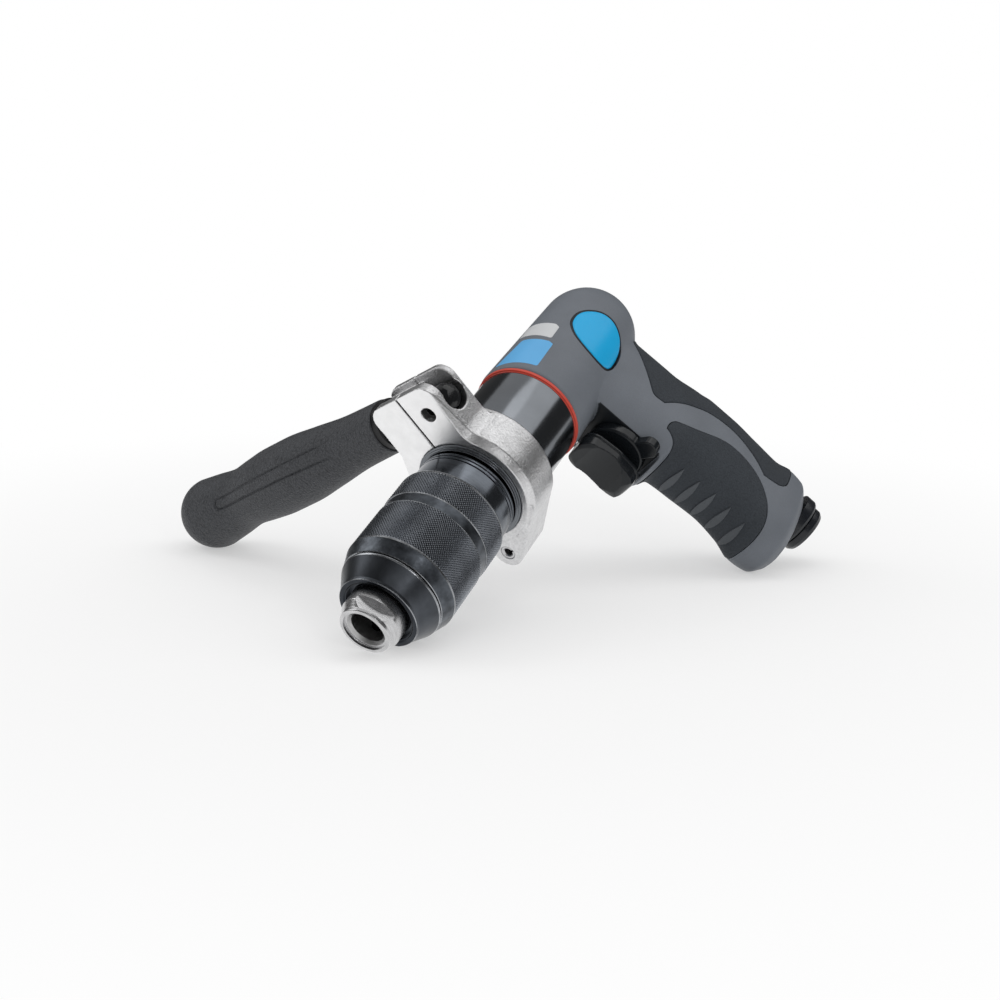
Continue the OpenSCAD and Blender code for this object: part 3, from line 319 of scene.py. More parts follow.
def linked(name, data):
    """A new object in the scene."""
    obj = bpy.data.objects.new(name, data)
    bpy.context.scene.collection.objects.link(obj)
    return obj


def field(items, name, width=3, kind=float):
    """A property of a mesh's vertices, edges or faces, one row each."""
    out = np.empty(len(items) * width, kind)
    items.foreach_get(name, out)
    return out.reshape(-1, width)


def coords(mesh):
    return field(mesh.vertices, "co")


def set_coords(mesh, points):
    mesh.vertices.foreach_set("co", np.asarray(points, float).ravel())
    mesh.update()


def weld(mesh, distance, outward=True):
    """Merges doubled points and turns the faces outwards."""
    bm = bmesh.new()
    bm.from_mesh(mesh)
    bmesh.ops.remove_doubles(bm, verts=bm.verts, dist=distance)
    if outward:
        bmesh.ops.recalc_face_normals(bm, faces=bm.faces)
    bm.to_mesh(mesh)
    bm.free()
    return mesh


def raw_mesh(name, points, faces):
    mesh = bpy.data.meshes.new(name)
    mesh.from_pydata([tuple(p) for p in points], [], faces)
    return mesh


def solid(points, faces):
    """A closed mesh with its faces turned outwards."""
    return weld(raw_mesh("solid", points, faces), 1e-5)


def to_tool(name):
    """A CAD node's mesh copied into tool-frame millimetres."""
    mesh = frame["nodes"][name].data.copy()
    set_coords(mesh, to_mm(coords(mesh)))
    mesh.materials.clear()
    return weld(mesh, 1e-4, outward=False)


def finish_piece(name, mesh, look, body, slot, replaced=(), sharp=35.0):
    """A smooth-shaded piece from a mesh in the row frame, riding on a body."""
    weld(mesh, 1e-7)
    mesh.shade_smooth()
    mesh.set_sharp_from_angle(angle=math.radians(sharp))
    obj = linked(name, mesh)
    paint(obj, look)
    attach(obj, body)
    if replaced:
        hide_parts(*replaced)
    return obj


def piece(name, points, faces, *how, **more):
    """A piece from tool-frame points and faces."""
    return finish_piece(name, raw_mesh(name, place(points), faces), *how, **more)


def tool_piece(name, mesh, *how, **more):
    """A piece from a tool-frame mesh."""
    out = mesh.copy()
    set_coords(out, place(coords(mesh)))
    return finish_piece(name, out, *how, **more)


def face_places(obj):
    """Centre of each face in tool millimetres, and how far it faces forward."""
    faces = obj.data.polygons
    return to_mm(field(faces, "center")), -field(faces, "normal") @ AXES[1]


def off_axis(points):
    return np.hypot(points[:, 0], points[:, 2])


def finishes(obj, *choices):
    """Gives faces further materials: each choice is a look and a mask over the faces; later ones win."""
    index = np.zeros(len(obj.data.polygons), int)
    for k, (look, mask) in enumerate(choices):
        obj.data.materials.append(MAT[look])
        index[mask] = k + 1
    obj.data.polygons.foreach_set("material_index", index)


def modified(mesh, kind, **settings):
    """The mesh after one modifier."""
    obj = linked("work", mesh)
    mod = obj.modifiers.new("step", kind)
    for key, value in settings.items():
        setattr(mod, key, value)
    out = bpy.data.meshes.new_from_object(obj.evaluated_get(bpy.context.evaluated_depsgraph_get()))
    bpy.data.objects.remove(obj)
    return out


def combine(a, b, operation):
    tool = linked("tool", b)
    out = modified(a, "BOOLEAN", operation=operation, solver="MANIFOLD", object=tool)
    bpy.data.objects.remove(tool)
    return out


def cut(mesh, *tools):
    for tool in tools:
        mesh = combine(mesh, tool, "DIFFERENCE")
    return mesh


def voxels(mesh, size):
    return modified(mesh, "REMESH", mode="VOXEL", voxel_size=size)


def soften(mesh, rounds, weight=None, keep_volume=True):
    """Evens out a dense mesh; with keep_volume each step is followed by one that swells it back."""
    a, b = field(mesh.edges, "vertices", 2, int).T
    p = coords(mesh)
    count = np.bincount(np.r_[a, b], minlength=len(p))[:, None]
    gain = 1.0 if weight is None else weight[:, None]
    for _ in range(rounds):
        for step in ((0.5, -0.52) if keep_volume else (0.5,)):
            total = np.zeros_like(p)
            for k in range(3):
                total[:, k] = np.bincount(a, p[b, k], len(p)) + np.bincount(b, p[a, k], len(p))
            p = p + step * gain * (total / count - p)
    set_coords(mesh, p)
    return mesh


def swell(mesh, amount):
    """Moves a dense mesh along its normals."""
    mesh.update()
    out = mesh.copy()
    set_coords(out, coords(mesh) + amount * field(mesh.vertices, "normal"))
    return out


def unfolded(mesh):
    """The mesh without pairs of faces that lie on the same corners, which cuts can leave."""
    bm = bmesh.new()
    bm.from_mesh(mesh)
    bmesh.ops.remove_doubles(bm, verts=bm.verts, dist=1e-4)
    bmesh.ops.triangulate(bm, faces=bm.faces)
    alike = {}
    for face in bm.faces:
        alike.setdefault(frozenset(face.verts), []).append(face)
    folded = [face for faces in alike.values() if len(faces) > 1 for face in faces]
    bmesh.ops.delete(bm, geom=folded, context="FACES_ONLY")
    bm.to_mesh(mesh)
    bm.free()
    return mesh


# Outlines and simple solids

def angles_of(count):
    return np.arange(count) * 2 * math.pi / count


def ring(r, y, angles):
    """Points round the spindle."""
    return np.stack([r * np.cos(angles), np.full(len(angles), y), r * np.sin(angles)], 1)


def ring_faces(rings, sides, closed=False):
    """Quads between rings of points; closed joins the last ring to the first."""
    faces = []
    for r in range(rings if closed else rings - 1):
        a, b = r * sides, (r + 1) % rings * sides
        faces += [(a + k, a + (k + 1) % sides, b + (k + 1) % sides, b + k) for k in range(sides)]
    return faces


def tube_faces(rings, sides):
    """Quads between rings of points, with both ends capped."""
    last = (rings - 1) * sides
    return ring_faces(rings, sides) + [tuple(range(sides)), tuple(range(last, last + sides))]


def rounded(corners, radius, steps=5):
    """Closed outline with each corner rounded; a corner may carry its own radius as a third value."""
    out = []
    for i, corner in enumerate(corners):
        here = np.array(corner[:2], float)
        r = corner[2] if len(corner) > 2 else radius
        back = np.array(corners[i - 1][:2], float) - here
        ahead = np.array(corners[(i + 1) % len(corners)][:2], float) - here
        lb, la = np.linalg.norm(back), np.linalg.norm(ahead)
        turn = math.acos(np.clip(back @ ahead / (lb * la), -1, 1))
        if r <= 0 or abs(turn - math.pi) < 0.02:
            out.append(tuple(here))
            continue
        reach = min(r / math.tan(turn / 2), 0.48 * lb, 0.48 * la)
        p0, p1 = here + back / lb * reach, here + ahead / la * reach
        for k in range(steps + 1):
            t = k / steps
            out.append(tuple((1 - t) ** 2 * p0 + 2 * t * (1 - t) * here + t ** 2 * p1))
    return out


def round_outline(circles, count=256):
    """Hull of circles, as a closed outline."""
    angles = np.linspace(0, 2 * math.pi, count, endpoint=False)
    ways = np.stack([np.cos(angles), np.sin(angles)], 1)
    centres = np.array([c[:2] for c in circles], float)
    radii = np.array([c[2] for c in circles], float)
    best = (ways @ centres.T + radii).argmax(1)
    points = centres[best] + radii[best][:, None] * ways
    out = [points[0]]
    for p in points[1:]:
        if np.linalg.norm(p - out[-1]) > 0.02:
            out.append(p)
    return out


def lathe_mesh(profile, sides=144, axis="y", at=(0, 0, 0)):
    """Revolves a closed outline of (radius, station) about an axis through a place."""
    angles, n = angles_of(sides), len(profile)
    r, y = np.array(profile).T
    points = np.stack([np.outer(np.cos(angles), r), np.broadcast_to(y, (sides, n)),
                       np.outer(np.sin(angles), r)], -1).reshape(-1, 3)
    faces = []
    for i in range(sides):
        a, b = i * n, (i + 1) % sides * n
        faces += [(a + k, b + k, b + (k + 1) % n, a + (k + 1) % n)
                  for k in range(n) if r[k] > 0 or r[(k + 1) % n] > 0]
    order = {"x": [1, 0, 2], "y": [0, 1, 2], "z": [0, 2, 1]}[axis]
    return points[:, order] + np.array(at), faces


def lathe(name, corners, radius, *how):
    return piece(name, *lathe_mesh(rounded(corners, radius)), *how)


def rod(r, low, high, axis="y", at=(0, 0, 0), sides=96, turn=0.0):
    """A cylinder along an axis, turned about the spindle."""
    points, faces = lathe_mesh([(0, low), (r, low), (r, high), (0, high)], sides, axis, at)
    return solid(about_spindle(points, turn), faces)


def prism(outline, axis, low, high):
    """Extrudes a closed outline along x (outline in y, z) or y (outline in x, z)."""
    points = [(level, u, v) if axis == "x" else (u, level, v) for level in (low, high) for u, v in outline]
    return solid(points, tube_faces(2, len(outline)))


def box(axis, u0, u1, v0, v1, low, high):
    return prism([(u0, v0), (u1, v0), (u1, v1), (u0, v1)], axis, low, high)


def disc(y, z, r):
    return prism(round_outline([(y, z, r)]), "x", -30, 30)


def smooth_steps(stations, values, at):
    """Monotone cubic through stations."""
    h, d = np.diff(stations), np.diff(values) / np.diff(stations)
    slope = np.r_[d[0], np.zeros(len(h) - 1), d[-1]]
    for i in range(1, len(h)):
        if d[i - 1] * d[i] > 0:
            w1, w2 = 2 * h[i] + h[i - 1], h[i] + 2 * h[i - 1]
            slope[i] = (w1 + w2) / (w1 / d[i - 1] + w2 / d[i])
    i = np.clip(np.searchsorted(stations, at) - 1, 0, len(h) - 1)
    t = (at - stations[i]) / h[i]
    return (values[i] * (1 + 2 * t) * (1 - t) ** 2 + slope[i] * h[i] * t * (1 - t) ** 2
            + values[i + 1] * t * t * (3 - 2 * t) + slope[i + 1] * h[i] * t * t * (t - 1))


# Turned rings: cone, collar, neck and trim

def turned_rings():
    cone_end, collar_end = CONE_Y + CONE_LEN, COLLAR_Y + COLLAR_LEN
    cone = lathe("cone_shell", [
        (CONE_BORE_R, cone_end), (CONE_BORE_R, CONE_Y + 0.6), (13.4, CONE_Y + 0.6), (13.9, CONE_Y),
        (CONE_R, CONE_Y), (CONE_R + 0.25, CONE_Y + 1.3), (CHUCK_R - 2.35, cone_end - 0.9, 0),
        (CHUCK_R - 2, cone_end)], 0.45, "cone", "output", "black_gloss", ("nose_cone",))
    at, forward = face_places(cone)
    along = at[:, 1] - CONE_Y
    # The cone's front edge and rear rim: worn, with a painted highlight
    finishes(cone, ("worn_highlight_edge", (along < 0.3) | (abs(along - CONE_LEN + 0.475) < 0.375)),
             # Forward faces and bore: painted shade
             ("cone_face_shade", (forward > 0.93) | (off_axis(at) < CONE_R - 0.6)))
    grooves = []
    for y in (collar_end - 3.6, collar_end - 2.0):
        grooves += [(COLLAR_R, y, 0.12), (COLLAR_R - 0.5, y + 0.12, 0.12),
                    (COLLAR_R - 0.5, y + 0.5, 0.12), (COLLAR_R, y + 0.62, 0.12)]
    lathe("collar_ring", [
        (COLLAR_BORE_R, collar_end), (COLLAR_BORE_R, COLLAR_Y), (COLLAR_R, COLLAR_Y), *grooves,
        (COLLAR_R, collar_end)], 0.6, "collar", "output", "black_gloss", ("chuck_collar",))
    lathe("neck_shell", [
        (SPINDLE_HOLE_R, CASE_Y), (20.2, CASE_Y, 0.2), (20.2, CASE_Y + 0.45, 0.1),
        (20.85, CASE_Y + 0.5, 0.2), (20.85, CASE_Y + 0.95, 0.1), (CASE_R, CASE_Y + 1.0, 0.2),
        (CASE_R, TRIM_Y), (CASE_BORE_R, TRIM_Y), (CASE_BORE_R, RING_GEAR_Y), (BEARING_SEAT_R, RING_GEAR_Y),
        (BEARING_SEAT_R, BEARING_Y), (15.0, BEARING_Y), (15.0, CASE_WALL_Y), (SPINDLE_HOLE_R, CASE_WALL_Y)],
        0.35, "gloss", "frame", "black_gloss", ("gear_case",))
    lathe("trim_band", [
        (TRIM_BORE_R, TRIM_Y + 0.02), (21.3, TRIM_Y + 0.02, 0.1), (21.5, TRIM_Y + 0.4, 0.1),
        (BARREL_R - 0.3, TRIM_Y + 0.4), (BARREL_R - 0.3, HOUSE_Y - 0.02), (TRIM_BORE_R, HOUSE_Y - 0.02)],
        0.28, "coral", "frame", "coral_red", ("trim_ring",))


# Housing: barrel and grip grown together, then bored and pocketed

# Stations of the grip: height, what each adds to the front, back and half width, and its slope
STATIONS = np.array([
    (GRIP_TOP_Z, -10, -3, -0.5, 0),
    (TRIGGER_Z, -10, -3, 0, 0),
    (LEDGE_Z, -10, -0.3, 0, 0),
    (LEDGE_Z - 6, -0.2, 0.2, 0, 0),
    (LEDGE_Z - 18, 1.3, 0.2, 0, 0),
    (LEDGE_Z - 32, 2.3, -0.8, -0.5, 0),
    (GRIP_Z + 20.5, 0.1, -1.6, -0.6, 0.03),
    (GRIP_Z + 11.5, -3.9, 0.8, -0.1, 0.06),
    (GRIP_Z + 4.5, -2.9, 0.2, -0.9, 0.09),
    (GRIP_Z, 1.5, -4.5, -5, 0.09),
]) + (0, GRIP_Y0, GRIP_Y1, GRIP_HALF, 0)
SQUARENESS = 2.5


def grip_section(z):
    """Front, back, half width and slope of the grip at a height."""
    down = np.clip(-np.asarray(z, float), -GRIP_TOP_Z, -GRIP_Z)
    return [smooth_steps(-STATIONS[:, 0], STATIONS[:, k], down) for k in range(1, 5)]


def grip_loft(grow):
    """The grip alone, grown all round, reaching up into the barrel."""
    top, rings, sides = -8.0, 100, 80
    z = np.linspace(top, GRIP_Z, rings)
    front, back, half, slope = grip_section(z)
    c, s = np.cos(angles_of(sides)), np.sin(angles_of(sides))
    across = np.sign(c) * np.abs(c) ** (2 / SQUARENESS)
    along = np.sign(s) * np.abs(s) ** (2 / SQUARENESS)
    x = np.outer(half + grow, across)
    offset = np.outer((back - front) / 2 + grow, along)
    y = ((front + back) / 2)[:, None] + offset
    points = np.stack([x, y, z[:, None] + slope[:, None] * offset], -1).reshape(-1, 3)
    return solid(points, tube_faces(rings, sides))


def barrel_radius(y):
    y = np.asarray(y, float)
    taper = BARREL_R + (DOME_R - BARREL_R) * (y - HOUSE_Y) / (DOME_Y - HOUSE_Y)
    dome = np.sqrt(np.maximum(0, DOME_R ** 2 - np.maximum(0, y - DOME_Y) ** 2))
    return np.where(y < DOME_Y, taper, dome)


def barrel_solid(grow, edge=0.0):
    """The barrel with its dome, grown all round; edge rounds its front."""
    arc = [((DOME_R + grow) * math.cos(a), DOME_Y + (DOME_R + grow) * math.sin(a))
           for a in np.linspace(0, math.pi / 2, 24)]
    arc[-1] = (0, arc[-1][1])
    return solid(*lathe_mesh([(0, HOUSE_Y), (BARREL_R + grow - edge, HOUSE_Y),
                              (BARREL_R + grow - 0.3 * edge, HOUSE_Y + 0.3 * edge),
                              (BARREL_R + grow, HOUSE_Y + edge)] + arc))


def front_pad_prism(shrink):
    body = prism(round_outline([(GRIP_Y0 + 8, LEDGE_Z - 0.3, 5.5 - shrink),
                                (GRIP_Y0 - 3.5, LEDGE_Z - 26, 27 - shrink)]), "x", -28, 28)
    y1, z0 = GRIP_Y0 - 2.5 + shrink, LEDGE_Z - 2.5 - shrink
    corner = box("x", y1 - 45, y1, z0, z0 + 45, -30, 30)
    return cut(body, disc(GRIP_Y0 - 2.5, LEDGE_Z + 6, 8.5 + shrink), corner)


def spine_pad_prism(shrink):
    back = GRIP_Y1 + 16
    body = prism(round_outline([
        (GRIP_Y0 + 19.6, TRIGGER_Z + 1, 4.5 - shrink), (GRIP_Y0 + 29, GRIP_Z + 18, 5 - shrink),
        (back, TRIGGER_Z + 45, 0.5), (back, GRIP_Z + 13.5 + shrink, 0.5)]), "x", -28, 28)
    return cut(body, disc(GRIP_Y0 - 4.8, LEDGE_Z - 18, 35.8 + shrink))


def housing_form():
    """Outer shape of the housing, with the grip flowing into the barrel."""
    recess = box("x", 100, RECESS_Y, LEDGE_Z, 20, -40, 40)
    form = voxels(combine(barrel_solid(0, 0.9), cut(grip_loft(0), recess), "UNION"), 0.55)
    soften(form, 5)
    x, y, z = coords(form).T
    off_barrel = np.where(y < DOME_Y, np.hypot(x, z) - barrel_radius(y),
                          np.sqrt(x * x + z * z + (y - DOME_Y) ** 2) - DOME_R)
    front, back, half, _ = grip_section(z)
    across, along = np.abs(x) / half, np.abs(y - (front + back) / 2) / ((back - front) / 2)
    off_grip = (across ** SQUARENESS + along ** SQUARENESS) ** (1 / SQUARENESS) * half - half
    blend = 3.2
    near = np.exp(-(np.maximum(np.abs(off_barrel), np.abs(off_grip)) / blend) ** 2) * (y > RECESS_Y + 1)
    return soften(form, 30, near, keep_volume=False)


# Outline of the badge on the flank, station and height
BADGE = [(165.3, 9.2), (170.6, 10.0), (174.8, 8.9), (178.1, 5.8), (180.2, 2.0), (180.8, -2.3), (179.8, -6.6),
         (177.3, -10.6), (173.3, -13.1), (168.0, -14.2), (162.9, -13.8), (159.4, -11.2), (157.5, -6.4),
         (157.7, -0.3), (160.3, 5.4)]
BADGE_ROOM = 1.05
BADGE_FOOT = -0.75


def badge_outline(grow, count=160):
    """Smooth closed outline of the badge, grown all round."""
    p = np.array(BADGE)
    at = np.linspace(0, len(p), count, endpoint=False)
    i = at.astype(int)
    t = (at - i)[:, None]
    a, b, c, d = (p[(i + k) % len(p)] for k in (-1, 0, 1, 2))
    curve = (2 * b + (c - a) * t + (2 * a - 5 * b + 4 * c - d) * t ** 2
             + (3 * b - a - 3 * c + d) * t ** 3) / 2
    run = np.roll(curve, -1, 0) - np.roll(curve, 1, 0)
    out = np.stack([run[:, 1], -run[:, 0]], 1) / np.linalg.norm(run, axis=1)[:, None]
    if ((curve - curve.mean(0)) * out).sum() < 0:
        out = -out
    return curve + grow * out


def lens(width, height, z):
    """Outline of a finger rib: two arcs."""
    r = (width ** 2 + height ** 2) / (4 * height)
    a = np.linspace(-1, 1, 33)[:-1] * math.asin(width / 2 / r)
    arc = [(r * math.sin(t), r * math.cos(t) - r + height / 2) for t in a]
    return [(u, z + v) for u, v in arc] + [(-u, z - v) for u, v in arc]


def housing_pieces():
    """The bored and pocketed housing, its inlaid pads, and the finger ribs on the front."""
    form = housing_form()
    pocket_floor = grip_loft(-POCKET_DEPTH)
    housing = cut(
        form,
        cut(front_pad_prism(0), pocket_floor),
        cut(spine_pad_prism(0), pocket_floor, barrel_solid(0)),
        cut(prism(badge_outline(BADGE_ROOM), "x", 4, 40), barrel_solid(-0.8)),
        rod(MOTOR_BORE_R, HOUSE_Y - 1, MOTOR_BORE_END),
        rod(VALVE_BORE_R, RECESS_Y - 1, VALVE_BORE_END, "y", (0, 0, TRIGGER_Z)),
        rod(VALVE_BORE_R, GRIP_Z - 3, GRIP_Z + 13.2, "z", (0, INLET_Y, 0)),
        rod(AIR_WAY_R, GRIP_Z, TRIGGER_Z, "z", (0, INLET_Y, 0)),
        rod(EXHAUST_R, GRIP_Z - 3, GRIP_Z + 30, "z", (0, EXHAUST_Y, 0)),
    )
    shell = tool_piece("housing_shell", unfolded(housing), "housing", "frame", "housing_grey", ("housing",),
                       sharp=40)
    at, forward = face_places(shell)
    height = at[:, 2]
    # The recess wall above the trigger is painted black as shade
    finishes(shell, ("recess", (forward > 0.9) & (abs(at[:, 1] - RECESS_Y) < 0.7)
                     & (height > LEDGE_Z + 0.5) & (height < -10)))

    skin, pad_back = swell(form, PAD_PROUD), grip_loft(-PAD_DEPTH)
    for name, outline, replaced, clear in (("front_pad", front_pad_prism, "grip_pad", []),
                                           ("back_pad", spine_pad_prism, "spine_pad", [barrel_solid(0.35)])):
        pad = cut(combine(skin, outline(PAD_GAP), "INTERSECT"), pad_back, *clear)
        tool_piece(name, soften(voxels(pad, 0.42), 3), "pad", "frame", "soft_charcoal", (replaced,), sharp=60)

    rib_top, rib_root = swell(form, 0.8), swell(form, 0.2)
    for k in range(5):
        bar = prism(lens(19.5, 3.3, LEDGE_Z - 12 - RIB_PITCH * k), "y", GRIP_Y0 - 12, GRIP_Y0 + 12)
        rib = voxels(cut(combine(rib_top, bar, "INTERSECT"), rib_root), 0.18)
        tool_piece(f"finger_rib_{k + 1}", soften(rib, 6), "rib", "frame", "soft_charcoal", sharp=80)


# Badge and bare stickers: thin patches wrapped on the barrel

def patch(name, outline, wrap, look, slot, top, foot, replaced=(), edge=0.2):
    """Closed patch over a convex outline; wrap maps (u, v, height) to tool points."""
    outline = np.array(outline)
    centre = outline.mean(0)
    n = len(outline)
    upper = [(1.0, foot), (1.0, top - edge), (0.992, top - 0.4 * edge), (0.975, top)]
    upper += [(s, top) for s in np.linspace(0.9, 0.1, 10)]
    under = [(s, foot) for s in np.linspace(0.1, 0.9, 10)]
    points = [wrap(*(centre + s * (outline - centre)).T, h) for s, h in upper + under]
    middle = len(upper) * n
    faces = [f for f in ring_faces(len(points), n, closed=True) if f[0] // n != len(upper) - 1]
    faces += [tuple(range(middle - n, middle)), tuple(range(middle, middle + n))]
    piece(name, np.concatenate(points), faces, look, "frame", slot, replaced, sharp=50)


def on_flank(y, z, h):
    """The barrel's flank by station and height."""
    r = barrel_radius(y) + h
    return np.stack([np.sqrt(np.maximum(0, r * r - z * z)), y, z], 1)


def on_barrel(s, y, h):
    """The barrel by the way round it and the station."""
    a = s / BARREL_R
    r = barrel_radius(y) + h
    return np.stack([r * np.cos(a), y, r * np.sin(a)], 1)


def even_outline(outline, count=160):
    """The outline walked in equal steps, starting where it is furthest round."""
    p = np.array(outline)
    p = np.roll(p, -int(p[:, 0].argmax()), 0)
    p = np.vstack([p, p[:1]])
    run = np.r_[0, np.cumsum(np.linalg.norm(np.diff(p, axis=0), axis=1))]
    at = np.linspace(0, run[-1], count, endpoint=False)
    return np.stack([np.interp(at, run, p[:, k]) for k in (0, 1)], 1)


def badge():
    """Blue plate with a dark rim round it."""
    patch("badge_plate", badge_outline(0), on_flank, "azure", "azure", 0.28, BADGE_FOOT, ("badge",))
    inner, outer = badge_outline(0.08), badge_outline(0.98)
    loops = [on_flank(*outline.T, h) for outline, h in (
        (inner, BADGE_FOOT), (inner, 0.02), ((inner + outer) / 2, 0.16), (outer, -0.02), (outer, BADGE_FOOT))]
    piece("badge_rim", np.concatenate(loops), ring_faces(len(loops), len(inner), closed=True),
          "dark_rim", "frame", "black_plastic", sharp=50)


def sticker(name, corners, look):
    """Bare sticker; its corners are stations and degrees up the flank."""
    outline = even_outline(rounded([(math.radians(a) * BARREL_R, y) for y, a in corners], 0.9))
    patch(name, outline, on_barrel, look, "housing_grey", 0.1, -0.3, edge=0.05)


# Chuck

def chuck_sleeve():
    """Sleeve with two belts of diamond knurling cut as pyramids, and smooth rims and band between them."""
    y0, y1 = SLEEVE_Y, SLEEVE_Y + SLEEVE_LEN
    rows = []

    def plain(base, *profile):
        rows.extend((r, base + y, False) for r, y in profile)

    def knurl(low, high):
        count = int(round((high - low) / KNURL_PITCH))
        rows.extend((CHUCK_R, low + (high - low) * k / count, True) for k in range(count + 1))

    plain(y0, (18.1, 7.2), (18.1, 0.2), (18.3, 0), (19.6, 0), (19.9, 0.08), (20.1, 0.3), (21.7, 5.2),
          (21.95, 5.7), (22.0, 6.1), (22.0, 6.5), (21.8, 6.65))
    knurl(y0 + 6.9, y0 + 26.2)
    plain(y0, (21.75, 26.45), (21.5, 26.6), (21.5, 31.1), (21.75, 31.25))
    knurl(y0 + 31.5, y1 - 1.6)
    plain(y1, (21.75, -1.35), (21.9, -1.2), (21.75, -0.7), (21.2, -0.15), (20.9, 0), (20.25, 0),
          (20.1, -0.15))
    plain(y0, (20.1, 7.2))
    column, angles = np.arange(KNURL_COLUMNS), angles_of(KNURL_COLUMNS)
    points, faces = [], []
    for j, (r, y, rough) in enumerate(rows):
        sunk = rough & ((column + j) % 2 == 0)
        points.append(ring(r - np.where(sunk, KNURL_DEPTH, 0.0), y, angles))
    for quad, (a, b, c, d) in enumerate(ring_faces(len(rows), KNURL_COLUMNS, closed=True)):
        j, i = divmod(quad, KNURL_COLUMNS)
        if rows[j][2] and rows[(j + 1) % len(rows)][2]:
            faces += [(a, b, c), (a, c, d)] if (i + j) % 2 == 0 else [(b, c, d), (b, d, a)]
        else:
            faces.append((a, b, c, d))
    sleeve = piece("knurled_sleeve", np.concatenate(points), faces, "knurl", "sleeve", "black_knurl",
                   ("chuck_sleeve",), sharp=12)
    smooth = [(0, 6.75), (26.4, 31.3), (43.2, 45)]
    # Rims of the sleeve: worn, with a painted highlight
    worn_highlit = [(-0.01, 0.28), (5.6, 6.4), (26.3, 26.65), (31.05, 31.4), (43.0, 43.7)]
    at, _ = face_places(sleeve)
    along, outside = at[:, 1] - y0, off_axis(at) > 19.5

    def within(belts):
        return outside & np.any([(along > low) & (along < high) for low, high in belts], axis=0)

    # The rims get the worn edge with its painted highlight
    finishes(sleeve, ("sleeve_band", within(smooth)), ("worn_highlight_edge", within(worn_highlit)))


def jaw_passage(k):
    """Slanting bore for one jaw."""
    points, faces = lathe_mesh([(0, -6), (JAW_R, -6), (JAW_R, 50), (0, 50)], 64)
    x, y, z = points.T
    c, s = math.cos(JAW_LEAN), math.sin(JAW_LEAN)
    leaning = np.stack([x, y * c - z * s, y * s + z * c + 1.0], 1)
    return solid(about_spindle(leaning, k * 2 * math.pi / 3), faces)


def chuck_body():
    """Nose with its wrench flats, bored for the shank, the screw and the jaws."""
    end, recess_y = COLLAR_Y + COLLAR_LEN, CONE_Y + 3
    nose_r, mouth_r, relief_r = NOSE_R + 0.3, SHANK_R + 1.9, SHANK_R + 0.4
    outer = rounded([
        (0, 0), (nose_r, 0, 0.7), (nose_r, 1.6, 0.4), (NOSE_BASE_R, 4.2, 0.6), (NOSE_BASE_R, recess_y, 0.4),
        (13.0, recess_y), (13.0, 19.2), (10.45, 19.2), (10.45, 26.0), (17.0, 26.0, 0.3), (17.0, end, 0.3),
        (0, end)], 0)
    bore = rounded([
        (0, -1), (mouth_r, -1), (mouth_r, 1.2, 0.1), (SHANK_R + 1.1, 1.3, 0.15), (SHANK_R, 2.5, 0.3),
        (SHANK_R, 6), (relief_r, 6), (relief_r, 34.6), (5.7, 34.6), (5.7, 40), (3.05, 40), (3.05, 48),
        (6.35, 48), (6.35, end + 1), (0, end + 1)], 0)
    body = cut(solid(*lathe_mesh(outer)), solid(*lathe_mesh(bore)), *[jaw_passage(k) for k in range(3)])
    for side in (-1, 1):
        flat = box("y", side * (NOSE_R - 0.9), side * (NOSE_R + 9), -12, 12, 1.5, 5.9)
        set_coords(flat, about_spindle(coords(flat), -FLAT_TURN))
        body = cut(body, flat)
    nose = tool_piece("nose_and_body", body, "steel", "output", "chuck_steel", ("chuck_body",), sharp=30)
    at, _ = face_places(nose)
    # Behind the nose the body takes the cone's black: partly its black finish, partly painted shade deep in the
    # recess round the nose
    finishes(nose, ("cone", at[:, 1] > CONE_Y + 1.2), ("bored", off_axis(at) < SHANK_R + 0.6))


# Clamp: two castings with their edges softened, then bored again, with the hinge's pin and the eye bolt

def in_clamp(mesh):
    """Turns a mesh with the clamp about the spindle."""
    set_coords(mesh, about_spindle(coords(mesh), CLAMP_TURN))
    return mesh


def front_bevel():
    """Carries the band's front bevel on along the web and fades it out up the side of the right block."""
    top = HANDLE_OFFSET + 6
    fillet_x = LUG_RIGHT + WEB_R
    fillet_z = math.sqrt((CLAMP_R + WEB_R) ** 2 - fillet_x ** 2)
    meet = math.atan2(fillet_z, fillet_x)
    path = [((LUG_RIGHT, z), (1, 0), 0.25 + 0.75 * (top - z) / (top - fillet_z))
            for z in np.linspace(top, fillet_z, 12)]
    for a in np.linspace(math.pi, math.pi + meet, 14)[1:]:
        c, s = math.cos(a), math.sin(a)
        path.append(((fillet_x + WEB_R * c, fillet_z + WEB_R * s), (-c, -s), 1.0))
    for a in np.linspace(meet, meet - 0.35, 8)[1:]:
        c, s = math.cos(a), math.sin(a)
        path.append(((CLAMP_R * c, CLAMP_R * s), (c, s), 1.0))
    points = []
    for (x, z), (nx, nz), size in path:
        inward, back = 1.6 * size, 3.2 * size
        front, rear = CLAMP_Y - 0.5 * back, CLAMP_Y + back * (1 + 1.5 / inward)
        for off, y in ((-inward * 1.5, front), (1.5, rear), (1.5, front)):
            points.append((x + off * nx, y, z + off * nz))
    return solid(about_spindle(points, CLAMP_TURN), tube_faces(len(path), 3))


def hinge_web():
    """Flat cheek that runs from the side of the band down to the hinge."""
    end = CLAMP_Y + CLAMP_W
    web = prism(round_outline([(HINGE_X, HINGE_Z, 6.2), (14, -14, 5.9)]), "y", CLAMP_Y + 0.8, end)
    gap = prism(round_outline([(HINGE_X, HINGE_Z, 6.5)]), "y", CLAMP_Y + 5.5, end - 5.5)
    split = box("y", -60, HINGE_X, -60, 20, CLAMP_Y + 5.4, end - 5.4)
    return cut(in_clamp(web), in_clamp(gap), in_clamp(split))


